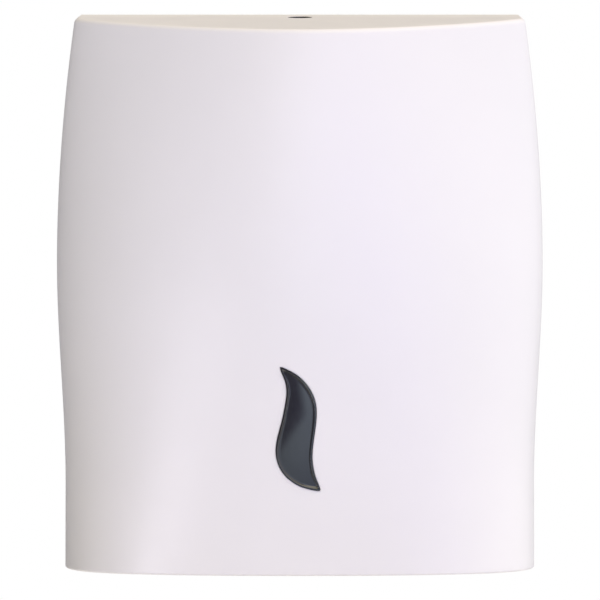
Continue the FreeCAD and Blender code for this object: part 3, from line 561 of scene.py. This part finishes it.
# %% Skin of the cover
COLUMNS, ROWS = 150, 80
TOP_EDGE, TOP_EDGE_STEPS = 2.6, 5
LID_MARGIN = 1.2                 # a border of even faces round the flat top
SETTLING = 8                     # rounds in which the sloping top's edge finds its height


def cover_point(u, v):
    """Point on the cover's skin: u runs round the plan, v from the foot to the top."""
    m = abs(2 * u - 1)
    z = TOP_Z
    for _ in range(SETTLING):
        z = top_height(outline_point(m, z, COVER_REAR)[1])
    level = FOOT_Z + v * (z - FOOT_Z)
    x, y = outline_point(m, level, COVER_REAR)
    return Vector((math.copysign(x, u - 0.5), y, level))


skin = formed_grid(COLUMNS, ROWS, cover_point)
top_edges = [e for e in skin.edges if e.is_boundary
             and all(abs(v.co.z - top_height(v.co.y)) < NEAR for v in e.verts)]
bmesh.ops.contextual_create(skin, geom=top_edges)
skin.faces.ensure_lookup_table()
lid = max(skin.faces, key=lambda f: len(f.verts))
bmesh.ops.recalc_face_normals(skin, faces=skin.faces)
if lid.normal.z < 0:
    bmesh.ops.reverse_faces(skin, faces=skin.faces)
rounded = [e for e in lid.edges if not e.is_boundary]
bmesh.ops.bevel(skin, geom=rounded, offset=TOP_EDGE, offset_type="OFFSET", segments=TOP_EDGE_STEPS,
                profile=0.5, affect="EDGES", clamp_overlap=False, material=-1)
lid = max(skin.faces, key=lambda f: len(f.verts))
bmesh.ops.inset_individual(skin, faces=[lid], thickness=LID_MARGIN, use_even_offset=True)
print("skin", len(skin.faces), "faces, lid has", len(lid.verts), "corners")

# %% Wall thickness and the edges at the foot
FOOT_EDGE, FOOT_EDGE_STEPS = 1.1, 3
FOOT_EDGE_END = 1.0              # mm before the rear edge, where the rounding stops
SHARP = 1.0                      # radians between two faces
REAR_SLACK, FOOT_SLACK = 0.3, 0.4                  # how far the thickened edges stray

shell_object = as_object(skin, "shell")
wall = shell_object.modifiers.new("wall", "SOLIDIFY")
wall.thickness, wall.offset, wall.use_even_offset = WALL, -1.0, True
shell = evaluated(shell_object)
for v in shell.verts:
    if v.co.y > -COVER_REAR - REAR_SLACK:
        v.co.y = -COVER_REAR
    if v.co.z < FOOT_Z + FOOT_SLACK:
        v.co.z = FOOT_Z
sharp_edges = [e for e in shell.edges if e.is_manifold and e.calc_face_angle(0) > SHARP]
foot_edges = [e for e in sharp_edges
              if all(v.co.z < FOOT_Z + NEAR and v.co.y < -COVER_REAR - FOOT_EDGE_END
                     for v in e.verts)]
bmesh.ops.bevel(shell, geom=foot_edges, offset=FOOT_EDGE, offset_type="OFFSET",
                segments=FOOT_EDGE_STEPS, profile=0.5, affect="EDGES", clamp_overlap=False,
                material=-1)
bmesh.ops.recalc_face_normals(shell, faces=shell.faces)
print("shell", len(shell.faces), "faces, volume, cm3", round(shell.calc_volume() / 1000, 1))

# %% Places inside the cover
HINGE_Y, HINGE_Z = -24.0, -146.4
CATCH_SCREWS = [(side * 22.0, y) for side in (-1, 1) for y in (-2.5, -17.5)]
FLANGE_START, FOOT_STEPS = -42.0, 60


def on_top(x, y, up):
    """Point above the inside of the top wall, with y along the slope from the lock's axis."""
    place = Vector((0, LOCK_Y, top_height(LOCK_Y, WALL)))
    return place + Matrix.Rotation(math.atan(SLOPE), 3, "X") @ Vector((x, y, up))


def foot_line(inset):
    """Plan line along the front at the foot, from one end of the flange to the other."""
    points = [front_curve(i / FOOT_STEPS, FOOT_Z, inset) for i in range(FOOT_STEPS + 1)]
    half = [(x, y) for x, y in points if y < FLANGE_START]
    return [(-x, y) for x, y in reversed(half)] + half[1:]


side_x = half_width(HINGE_Z) - WALL
print("inside of the side wall at the hinge, mm", round(side_x, 2))

# %% Bosses, ribs and stakes inside the cover
ROOT = 1.2                       # how far each starts inside the wall, so that they join
HINGE_BOSS, HINGE_BOSS_REACH = 11.0, 5.8
CATCH_BOSS, CATCH_BOSS_LENGTH = 8.0, 5.0
STAKES = ((-14.5, 2.0), (14.6, 6.0), (-4.0, -35.5))            # from the middle of the window
STAKE, STAKE_LENGTH = 3.0, 3.2
RIB_X, RIB_WIDTH, RIB_START, RIB_END, RIB_DROP = (62.0, 96.0), 2.0, -19.0, -58.0, 4.0
FLANGE_WIDTH, FLANGE_LIFT = 5.0, 0.15

inside = bmesh.new()
for side in (-1, 1):
    add_rod(inside, HINGE_BOSS, (side * (side_x - HINGE_BOSS_REACH), HINGE_Y, HINGE_Z),
            (side * (side_x + ROOT), HINGE_Y, HINGE_Z))
    for x in RIB_X:
        rib = [(RIB_START, WALL + RIB_DROP), (RIB_START, WALL / 2), (RIB_END, WALL / 2)]
        add_prism(inside, [(side * x, y, top_height(y, inset)) for y, inset in rib],
                  (side * RIB_WIDTH, 0, 0))
for x, y in CATCH_SCREWS:
    add_rod(inside, CATCH_BOSS, on_top(x, y, -CATCH_BOSS_LENGTH), on_top(x, y, ROOT))
for x, z in STAKES:
    y = front_y(x, WINDOW_Z + z, WALL)
    add_rod(inside, STAKE, (x, y - ROOT, WINDOW_Z + z), (x, y + STAKE_LENGTH, WINDOW_Z + z), 24)
around = foot_line(ROOT) + foot_line(WALL + FLANGE_WIDTH)[::-1]
add_prism(inside, [(x, y, FOOT_Z + FLANGE_LIFT) for x, y in around], (0, 0, WALL))
bmesh.ops.recalc_face_normals(inside, faces=inside.faces)
shell = combine(shell, inside, "UNION")
print("cover with bosses", len(shell.faces), "faces")

# %% Rounded holes
HOLE_EDGE, ROUND_STEPS, HOLE_SIDES = 0.6, 4, 64
ABOVE, BELOW = 2.0, 4.5          # how far the key hole's cutter reaches past the top face


def quarter_round(radius):
    """Steps (out, down) round an edge, from the face to the wall of a hole."""
    turns = [math.pi / 2 * i / ROUND_STEPS for i in range(ROUND_STEPS + 1)]
    return [(radius * (1 - math.sin(a)), radius * (1 - math.cos(a))) for a in turns]


def top_hole(radius, levels):
    """Cutter for a hole in the sloping top: a lathe skin whose levels follow the slope."""
    def place(u, v):
        out, down = levels[round(v * (len(levels) - 1))]
        turn = 2 * math.pi * u
        y = (radius + out) * math.sin(turn) + LOCK_Y
        return Vector(((radius + out) * math.cos(turn), y, top_height(y) - down))
    return closed(formed_grid(HOLE_SIDES, len(levels) - 1, place))


key_levels = [(HOLE_EDGE, -ABOVE)] + quarter_round(HOLE_EDGE) + [(0, BELOW)]
cuts = joined(top_hole(KEY_HOLE / 2, key_levels))
print("key hole cutter", len(cuts.faces), "faces")

# %% Bores, turning corners and the window's opening
PIN_BORE, PIN_BORE_DEPTH = 4.12, 8
SCREW_BORE, BORE_START, BORE_END = 3.1, 6.5, 0.2   # from the inside of the top
CORNER_RADIUS = 13.55            # clears the wall as the cover turns
CORNER_BACK, CORNER_DROP = 5, 9  # how far the corner's cutter reaches past the wall and the foot
BEYOND = 200                     # to each side, past the widest place
OPENING_EDGE = 0.5
BEFORE, BEHIND = -140, -110      # y where the opening's cutter starts and ends

for side in (-1, 1):
    add_rod(cuts, PIN_BORE, (side * (side_x - PIN_BORE_DEPTH), HINGE_Y, HINGE_Z),
            (side * side_x, HINGE_Y, HINGE_Z), 32)
for x, y in CATCH_SCREWS:
    add_rod(cuts, SCREW_BORE, on_top(x, y, -BORE_START), on_top(x, y, -BORE_END), 24)
corner = []
for degrees in range(-90, 1, 6):
    a = math.radians(degrees)
    corner.append((HINGE_Y + CORNER_RADIUS * math.cos(a), HINGE_Z + CORNER_RADIUS * math.sin(a)))
corner += [(CORNER_BACK, HINGE_Z), (CORNER_BACK, FOOT_Z - CORNER_DROP),
           (HINGE_Y, FOOT_Z - CORNER_DROP)]
add_prism(cuts, [(-BEYOND, y, z) for y, z in corner], (2 * BEYOND, 0, 0))
bmesh.ops.recalc_face_normals(cuts, faces=cuts.faces)
shell = combine(shell, cuts, "DIFFERENCE")

opening = [(OPENING_EDGE, at_y(BEFORE))]
opening += [(out, flush(-down)) for out, down in quarter_round(OPENING_EDGE)[1:]]
shell = combine(shell, closed(flame_skin(opening + [(0, at_y(BEHIND))])), "DIFFERENCE")
print("cover cut", len(shell.faces), "faces, volume, cm3", round(shell.calc_volume() / 1000, 1),
      "open edges", sum(not e.is_manifold for e in shell.edges))

# %% The finished cover
even_normals(piece(shell, "cover_shell", "cover", "cover_white", ["front_cover"]))

# %% [markdown]
# ## The sight window
# The window is one smoked moulding that fills the opening from behind. Its edge stands a little
# proud as a rounded rim, and the face inside it follows the cover's bow, a little below the
# surface. Behind the wall a flange with three lugs sits on the cover's stakes, and toothed rings
# pushed over the stakes hold it.

# %% The window's section, from its face over the rim to the flange
FACE_EDGE, FACE_HEIGHT = -1.75, -0.20              # growth, and height over the cover's surface
INNER_SLOPE = ((-1.62, -0.17), (-1.5, -0.05), (-1.12, 0.40), (-1.02, 0.44), (-0.92, 0.50))
RIM_TOP, RIM_INNER, RIM_ROUND = 0.7, -0.75, 0.4
GAP, SEAT_GAP = 0.15, 0.05                         # round the window, and behind the wall
FLANGE_GROWTH, FLANGE_WALL, FLANGE_EDGE = 3.5, 1.4, 0.2
INSIDE_OPENING = -1.2                              # a height between the opening's two edges

wall_side = -WALL - SEAT_GAP
back_side = -WALL - FLANGE_WALL
section = [(FACE_EDGE, FACE_HEIGHT), *INNER_SLOPE, (RIM_INNER, RIM_TOP)]
section += [(out - GAP - RIM_ROUND, RIM_TOP - down) for down, out in quarter_round(RIM_ROUND)[::-1]]
section += [(-GAP, INSIDE_OPENING), (-GAP, wall_side), (FLANGE_GROWTH - FLANGE_EDGE, wall_side),
            (FLANGE_GROWTH, wall_side - FLANGE_EDGE), (FLANGE_GROWTH, back_side + FLANGE_EDGE),
            (FLANGE_GROWTH - FLANGE_EDGE, back_side)]
print("window's section has", len(section), "points")

# %% Window
FACE_COLUMNS = 14
LUG, LUG_HOLE = 8.0, 3.3
LUG_FRONT, LUG_BACK = 0.2, 0.1   # how far its faces lie inside the flange's
HOLE_FRONT, HOLE_BACK = 1, 4     # how far its hole's cutter reaches to either side


def flame_sheet(grow, height):
    """A sheet across the flame, from its left edge to its right one."""
    loop, place = flame_loop(grow), flush(height)

    def at(u, v):
        i = round(v * FLAME_ROWS)
        p = loop[-i].lerp(loop[i], u) if i < FLAME_ROWS else loop[i]
        return Vector((p.x, place(p.x, p.z), p.z))

    return formed_grid(FACE_COLUMNS, FLAME_ROWS, at)


lens = closed(joined(flame_skin([(grow, flush(height)) for grow, height in section]),
                     flame_sheet(*section[0]), flame_sheet(*section[-1])))
lugs, holes = bmesh.new(), bmesh.new()
for x, z in STAKES:
    y = front_y(x, WINDOW_Z + z) + WALL
    add_rod(lugs, LUG, (x, y + LUG_FRONT, WINDOW_Z + z),
            (x, y + FLANGE_WALL - LUG_BACK, WINDOW_Z + z))
    add_rod(holes, LUG_HOLE, (x, y - HOLE_FRONT, WINDOW_Z + z),
            (x, y + HOLE_BACK, WINDOW_Z + z), 24)
lens = combine(combine(lens, lugs, "UNION"), holes, "DIFFERENCE")
print("window, open edges", sum(not e.is_manifold for e in lens.edges))
even_normals(piece(lens, "window_lens", "cover", "window_smoke", ["sight_window"], 30))

# %% [markdown]
# ## The moulded and machined parts inside
# These parts already have their true form in the frame. What they lack is what the eye expects on
# a real moulding: edges that are slightly rounded and catch the light. Each one is copied, its
# flat faces are cleaned up, and its sharp edges are bevelled.

# %% Softening a part's edges
CLOSE = 0.002                    # mm, corners of the frame's triangles that are one
FLAT_ANGLE = 1.0                 # degrees, faces nearer than this become one
EDGE_ANGLE = 38                  # degrees, edges from here on are rounded
SMOOTH_ANGLE = 40                # degrees, edges below this are shaded smooth


def softened(name, body, edge, slot):
    """A copy of a frame node with clean faces and rounded edges, which stands for the node."""
    bm = bmesh.new()
    bm.from_mesh(nodes[name].data)
    bmesh.ops.transform(bm, matrix=nodes[name].matrix_world, verts=bm.verts)
    bmesh.ops.scale(bm, vec=(1 / MM, 1 / MM, 1 / MM), verts=bm.verts)
    bmesh.ops.remove_doubles(bm, verts=bm.verts, dist=CLOSE)
    middle = bmesh.ops.bisect_plane(bm, geom=bm.verts[:] + bm.edges[:] + bm.faces[:], dist=MERGE,
                                    plane_co=(0, 0, 0), plane_no=(1, 0, 0))["geom_cut"]
    for e in middle:
        if isinstance(e, bmesh.types.BMEdge):
            e.seam = True                       # keeps a ring-shaped face in two halves
    bmesh.ops.dissolve_limit(bm, angle_limit=math.radians(FLAT_ANGLE), verts=bm.verts,
                             edges=bm.edges, delimit={"SEAM"})
    bmesh.ops.recalc_face_normals(bm, faces=bm.faces)
    obj = piece(bm, name + "_moulded", body, slot, [name], SMOOTH_ANGLE)
    bevel = obj.modifiers.new("edges", "BEVEL")
    bevel.width, bevel.segments, bevel.limit_method = edge * MM, 2, "ANGLE"
    bevel.angle_limit = math.radians(EDGE_ANGLE)
    bevel.use_clamp_overlap = True
    bevel.miter_outer = "MITER_ARC"
    even_normals(obj)


print("edges from", EDGE_ANGLE, "degrees up are rounded")

# %% The parts of the case, the lock and the cover
SOFTENED = {                     # body, how far the edges are rounded in mm, slot
    "back_plate": ("case", 0.35, "case_white"),
    "paper_tray": ("case", 0.35, "case_white"),
    "exit_throat": ("case", 0.35, "case_white"),
    "side_guide_left": ("case", 0.35, "case_white"),
    "side_guide_right": ("case", 0.35, "case_white"),
    "lock_housing": ("case", 0.3, "lock_grey"),
    "lock_cap": ("case", 0.25, "lock_grey"),
    "lock_plunger": ("lock", 0.2, "lock_grey"),
    "latch_bar": ("lock", 0.3, "lock_grey"),
    "cover_catch": ("cover", 0.3, "lock_grey"),
    "latch_clip": ("lock", 0.12, "zinc_steel"),
    "hinge_pin_left": ("case", 0.25, "zinc_steel"),
    "hinge_pin_right": ("case", 0.25, "zinc_steel"),
}
for name, (body, edge, slot) in SOFTENED.items():
    softened(name, body, edge, slot)

# %% [markdown]
# ## Screws, push nuts and the spring
# A screw is turned on a lathe and gets its cross recess. Each screw of the frame is found again
# by its ends, and a new one of the same length is put in its place. The push nuts are dished
# rings, cut into six teeth. The spring is a round wire whose last turns lie flat, and it fills
# the height of the frame's spring, between the case and the lock.

# %% A pan-head screw
HEAD, HEAD_HEIGHT, HEAD_SIDE = 5.6, 2.0, 0.75
HEAD_FOOT = ((0.25, 0), (0.05, 0.12))              # how far in from the head's side, and height
SHANK, THREAD_DEPTH, THREAD_PITCH = 3.0, 0.28, 1.1
NECK, THREAD_START, THREAD_END = 0.6, 1.2, 1.5     # the last one is measured from the tip
POINT_LENGTH, POINT, POINT_STEP = 1.2, 0.5, 0.3
RECESS = (2.9, 0.56, 2.7, 1)                       # length, width and depth, for a matrix
RECESS_Z, RECESS_TAPER = 1.65, 0.4
CROWN_STEPS, LATHE_SIDES = 7, 40


def turned(profile):
    """A lathe solid about Z from (radius, height) points that start and end on the axis."""
    def place(u, v):
        r, z = profile[round(v * (len(profile) - 1))]
        return Vector((r * math.cos(2 * math.pi * u), r * math.sin(2 * math.pi * u), z))
    return closed(formed_grid(LATHE_SIDES, len(profile) - 1, place))


def screw(length):
    """Pan head above z = 0, shank with thread ridges below it."""
    r, core = HEAD / 2, SHANK / 2
    crown = []
    for i in range(CROWN_STEPS + 1):
        a = math.pi / 2 * i / CROWN_STEPS
        crown.append((r * math.cos(a), HEAD_SIDE + (HEAD_HEIGHT - HEAD_SIDE) * math.sin(a)))
    thread, z = [], -THREAD_START
    while z > -length + THREAD_END:
        thread += [(core, z), (core - THREAD_DEPTH, z - THREAD_PITCH / 2)]
        z -= THREAD_PITCH
    profile = [(0, -length), (POINT, -length), (core - POINT_STEP, -length + POINT_LENGTH)]
    profile += thread[::-1] + [(core, -NECK), (core, 0)]
    profile += [(r - inwards, up) for inwards, up in HEAD_FOOT] + crown
    body = turned(profile)
    for turn in (0, 90):
        slot = bmesh.new()
        place = Matrix.Rotation(math.radians(turn), 4, "Z") @ Matrix.Translation((0, 0, RECESS_Z))
        cube = bmesh.ops.create_cube(slot, size=1, matrix=place @ Matrix.Diagonal(RECESS))
        tip = [v for v in cube["verts"] if v.co.z < 1]
        bmesh.ops.scale(slot, vec=(RECESS_TAPER, RECESS_TAPER, 1), verts=tip)
        body = combine(body, slot, "DIFFERENCE")
    return body


trial = screw(10)
print("a screw has", len(trial.faces), "faces")
trial.free()


# %% Screws in place of the frame's
NEXT_TURN = 37                   # degrees from one screw's recess to the next one's


def shells_of(node):
    """The separate solids of a node in their own order, as lists of points in millimetres."""
    bm = bmesh.new()
    bm.from_mesh(node.data)
    bmesh.ops.transform(bm, matrix=node.matrix_world, verts=bm.verts)
    bmesh.ops.remove_doubles(bm, verts=bm.verts, dist=1e-6)
    left, shells = set(bm.verts), []
    for first in bm.verts:
        if first not in left:
            continue
        left.remove(first)
        stack, found = [first], []
        while stack:
            v = stack.pop()
            found.append(v.co / MM)
            near = {e.other_vert(v) for e in v.link_edges} & left
            left -= near
            stack += near
        shells.append(found)
    bm.free()
    return shells


def screws(name, body, axis, spin):
    """Puts screws in place of a node's, whose axis points from the tips to the heads."""
    axis = Vector(axis).normalized()
    turn = axis.to_track_quat("Z", "Y").to_matrix().to_4x4()
    whole = bmesh.new()
    for i, points in enumerate(shells_of(nodes[name])):
        tip, top = min(p.dot(axis) for p in points), max(p.dot(axis) for p in points)
        local = [turn.to_3x3().transposed() @ p for p in points]
        x, y = [(min(p[k] for p in local) + max(p[k] for p in local)) / 2 for k in (0, 1)]
        seat = turn @ Vector((x, y, top - HEAD_HEIGHT))
        one = screw(top - tip - HEAD_HEIGHT)
        spun = Matrix.Rotation(math.radians(spin + NEXT_TURN * i), 4, "Z")
        matrix = Matrix.Translation(seat) @ turn @ spun
        bmesh.ops.transform(one, matrix=matrix, verts=one.verts)
        whole = joined(whole, one)
    piece(whole, name + "_turned", body, "zinc_steel", [name], 30)


screws("guide_screws", "case", (0, -1, 0), 12)
screws("tray_screws", "case", (0, -1, 0), 33)
screws("lock_housing_screws", "case", (0, -1, 0), 50)
screws("catch_screws", "cover", on_top(0, 0, -1) - on_top(0, 0, 0), 20)

# %% Push nuts on the window's stakes
NUT, NUT_HOLE, NUT_WALL, NUT_SIDES = 7.5, 2.9, 0.3, 48
TEETH_RISE, BEND_RISE = 0.45, 0.12                 # heights at the hole and in the bend
BEND_IN, BEND_OUT, BEND_SHIFT = 2.3, 2.7, 0.05     # radii, larger by the shift on the back
TEETH_SLOT = (5.0, 4.0, 0.35, 1)
NUT_GAP = 0.1                                      # behind the flange


def push_nut(x, z):
    """A dished spring-steel ring whose six teeth grip a stake."""
    ring_section = [(NUT_HOLE / 2, TEETH_RISE), (BEND_IN, BEND_RISE), (BEND_OUT, 0.0),
                    (NUT / 2, 0.0), (NUT / 2, NUT_WALL), (BEND_OUT + BEND_SHIFT, NUT_WALL),
                    (BEND_IN + BEND_SHIFT, BEND_RISE + NUT_WALL),
                    (NUT_HOLE / 2, TEETH_RISE + NUT_WALL)]

    def place(u, v):
        r, h = ring_section[round(v * len(ring_section)) % len(ring_section)]
        return Vector((r * math.cos(2 * math.pi * u), h, r * math.sin(2 * math.pi * u)))

    ring = closed(formed_grid(NUT_SIDES, len(ring_section), place))
    slots = bmesh.new()
    for turn in (0, 60, 120):
        matrix = Matrix.Rotation(math.radians(turn), 4, "Y") @ Matrix.Diagonal(TEETH_SLOT)
        bmesh.ops.create_cube(slots, size=1, matrix=matrix)
    ring = combine(ring, slots, "DIFFERENCE")
    y = front_y(x, WINDOW_Z + z) + WALL + FLANGE_WALL + NUT_GAP
    bmesh.ops.translate(ring, vec=(x, y, WINDOW_Z + z), verts=ring.verts)
    return ring


nuts = joined(*[push_nut(x, z) for x, z in STAKES])
piece(nuts, "push_nuts", "cover", "zinc_steel", ["window_push_nuts"], 30)

# %% The lock's spring
WIRE, COIL, TURNS, WIRE_SIDES, STEPS = 0.9, 8.4, 6.0, 12, 36
FLAT_SHARE = 0.75                # of each end turn
STEP = 1e-4                      # a short way along the wire, as a share of its length
spring = nodes["lock_spring"]
heights = [1000 * (spring.matrix_world @ v.co).z for v in spring.data.vertices]
spring_low, spring_top = min(heights), max(heights)


def wire_centre(s):
    """Centre line of the wire: s runs from 0 to 1, and the first and last turns lie flat."""
    flat = 1.0 / TURNS
    rise = min(1.0, max(0.0, (s - flat * FLAT_SHARE) / (1 - 2 * FLAT_SHARE * flat)))
    height = spring_low + WIRE / 2 + rise * (spring_top - spring_low - WIRE)
    angle = 2 * math.pi * TURNS * s
    return Vector((COIL / 2 * math.cos(angle), LOCK_Y + COIL / 2 * math.sin(angle), height))


def spring_point(u, v):
    """Point on the wire's skin: u runs along the wire, v round it."""
    centre, angle = wire_centre(u), 2 * math.pi * v
    along = (wire_centre(u + STEP) - wire_centre(u - STEP)).normalized()
    out = (centre - Vector((0, LOCK_Y, centre.z))).normalized()
    side = along.cross(out)
    return centre + (out * math.cos(angle) + side * math.sin(angle)) * WIRE / 2


stretch = ("case", "lock", Vector((0, LOCK_Y, spring_low)) * MM,
           Vector((0, LOCK_Y, spring_top)) * MM)
coil = closed(formed_grid(int(TURNS * STEPS), WIRE_SIDES, spring_point))
piece(coil, "lock_spring_wire", stretch, "zinc_steel", ["lock_spring"], 40)
print("spring, mm", round(spring_low, 2), "to", round(spring_top, 2))

# %% [markdown]
# ## Floor and light
# A plain pale floor lies well below the dispenser, fading out at its edge, so the object hangs
# free as on its wall. The light is a sum of soft lobes, each a smooth glow from one direction:
# strong from above and from the right, cool from the front and from low on the left, warm where
# it falls on the top. Two square lamps add form, one from above in front and one from low on the
# left. The background is plain white, to the camera only.

# %% Floor
FLOOR_Y, FLOOR_Z, FLOOR_RADIUS, FLOOR_SIDES = -0.05, -0.33, 1.4, 96
FADE_FROM, FADE_TO = 0.55, 1.3   # m from the middle
floor_mesh = bmesh.new()
bmesh.ops.create_circle(floor_mesh, cap_ends=True, segments=FLOOR_SIDES, radius=FLOOR_RADIUS,
                        matrix=Matrix.Translation((0, FLOOR_Y, FLOOR_Z)))
floor = as_object(floor_mesh, "floor")
floor_finish, tree, shader, at = new_finish("floor_pale")
shader.inputs["Base Color"].default_value = (0.86, 0.86, 0.87, 1)
shader.inputs["Roughness"].default_value = 0.6
distance = tree.nodes.new("ShaderNodeVectorMath")
distance.operation = "LENGTH"
tree.links.new(at, distance.inputs[0])
fade = tree.nodes.new("ShaderNodeMapRange")
fade.interpolation_type = "SMOOTHSTEP"
fade.inputs["From Min"].default_value = FADE_FROM
fade.inputs["From Max"].default_value = FADE_TO
fade.inputs["To Min"].default_value = 1.0
fade.inputs["To Max"].default_value = 0.0
tree.links.new(distance.outputs["Value"], fade.inputs["Value"])
tree.links.new(fade.outputs["Result"], shader.inputs["Alpha"])
floor.data.materials.append(floor_finish)
print("floor, m below the middle", -FLOOR_Z)

# %% Nodes that work out light from its direction
world = bpy.data.worlds.new("studio")
bpy.context.scene.world = world
world.use_nodes = True
studio = world.node_tree
studio.nodes.clear()
direction = studio.nodes.new("ShaderNodeTexCoord").outputs["Generated"]


def towards(vector):
    """How far the direction of a ray agrees with a vector."""
    node = studio.nodes.new("ShaderNodeVectorMath")
    node.operation = "DOT_PRODUCT"
    node.inputs[1].default_value = vector
    studio.links.new(direction, node.inputs[0])
    return node.outputs["Value"]


def worked(operation, a, b):
    """A math node on two values, where the second may be a plain number."""
    node = studio.nodes.new("ShaderNodeMath")
    node.operation = operation
    studio.links.new(a, node.inputs[0])
    if isinstance(b, float):
        node.inputs[1].default_value = b
    else:
        studio.links.new(b, node.inputs[1])
    return node.outputs["Value"]


def lit(strength, colour):
    """A background of one colour whose strength is worked out from the direction."""
    node = studio.nodes.new("ShaderNodeBackground")
    node.inputs["Color"].default_value = (*colour, 1)
    studio.links.new(strength, node.inputs["Strength"])
    return node.outputs[0]


def summed(a, b):
    """Two lights together."""
    node = studio.nodes.new("ShaderNodeAddShader")
    studio.links.new(a, node.inputs[0])
    studio.links.new(b, node.inputs[1])
    return node.outputs[0]


def eased(value, start, end):
    """Rises smoothly from 0 at start to 1 at end."""
    node = studio.nodes.new("ShaderNodeMapRange")
    node.interpolation_type = "SMOOTHSTEP"
    node.inputs["From Min"].default_value = start
    node.inputs["From Max"].default_value = end
    studio.links.new(value, node.inputs["Value"])
    return node.outputs["Result"]


print("world", world.name)

# %% The studio as soft lobes of light
LOBES = (                        # direction it comes from, sharpness, colour
    ((1, 0, 0), 2, (1.36, 1.39, 1.39)),                        # right
    ((0.6, -1, 0.2), 10, (0.35, 0.25, 1.20)),                  # front, cool
    ((0, -0.7, 0.7), 6, (0.90, 0.85, 0.35)),                   # above in front, warm
    ((-0.8, -0.75, -0.5), 8, (0.92, 0.98, 1.20)),              # low on the left, cool
    ((0.35, -0.1, 1), 5, (2.10, 1.91, 1.73)),                  # above
    ((0, 0.5, 1), 6, (0.53, 0.38, 0.24)),                      # above behind, warm, for the top
    ((0, 1, 0), 2, (0.30, 0.31, 0.34)),                        # behind
)

soft = None
for place, sharpness, colour in LOBES:
    agreement = worked("MAXIMUM", towards(Vector(place).normalized()), 0.0)
    lobe = lit(worked("POWER", agreement, float(sharpness)), colour)
    soft = summed(soft, lobe) if soft else lobe
print("lobes", len(LOBES))

# %% A bright card in front, with a dark corner, for the window to reflect
CARD_COLOUR, CARD_TIGHTNESS = (1.15, 1.38, 1.50), 90.0
LOWER_LINE, LOWER_START = (0.273, 0, -0.962), 0.083            # the card is open below this line
RIGHT_LINE, RIGHT_START = (0.79, 0, 0.61), -0.039              # and to the right of this one

below = worked("SUBTRACT", towards(LOWER_LINE), LOWER_START)
beside = worked("SUBTRACT", towards(RIGHT_LINE), RIGHT_START)
below, beside = eased(below, -0.002, 0.008), eased(beside, -0.012, 0.03)
open_part = worked("MAXIMUM", below, beside)
facing = worked("MAXIMUM", towards((0, -1, 0)), 0.0)
card = worked("POWER", facing, CARD_TIGHTNESS)
soft = summed(soft, lit(worked("MULTIPLY", card, open_part), CARD_COLOUR))
print("card", CARD_COLOUR)

# %% White to the camera, lobes and card to everything else
plain = studio.nodes.new("ShaderNodeBackground")
plain.inputs["Color"].default_value = (1, 1, 1, 1)
ray = studio.nodes.new("ShaderNodeLightPath")
chosen = studio.nodes.new("ShaderNodeMixShader")
studio.links.new(ray.outputs["Is Camera Ray"], chosen.inputs["Fac"])
studio.links.new(soft, chosen.inputs[1])
studio.links.new(plain.outputs[0], chosen.inputs[2])
studio.links.new(chosen.outputs[0], studio.nodes.new("ShaderNodeOutputWorld").inputs["Surface"])
print("world nodes", len(studio.nodes))


# %% Lamps
def lamp(name, place, size, power, colour):
    """A square soft lamp that faces the middle of the dispenser."""
    data = bpy.data.lights.new(name, "AREA")
    data.size, data.energy, data.color = size, power, colour
    obj = bpy.data.objects.new(name, data)
    obj.location = place
    obj.rotation_euler = (-Vector(place)).to_track_quat("-Z", "Y").to_euler()
    bpy.context.scene.collection.objects.link(obj)


lamp("front_lamp", (0.1, -2.6, 0.9), 1.6, 8.5, (0.72, 0.74, 1.0))
lamp("left_lamp", (-1.7, -1.95, -0.7), 1.0, 25, (0.86, 0.81, 0.91))
bpy.context.scene.view_settings.view_transform = "Standard"
print("lamps", list(bpy.data.lights.keys()))
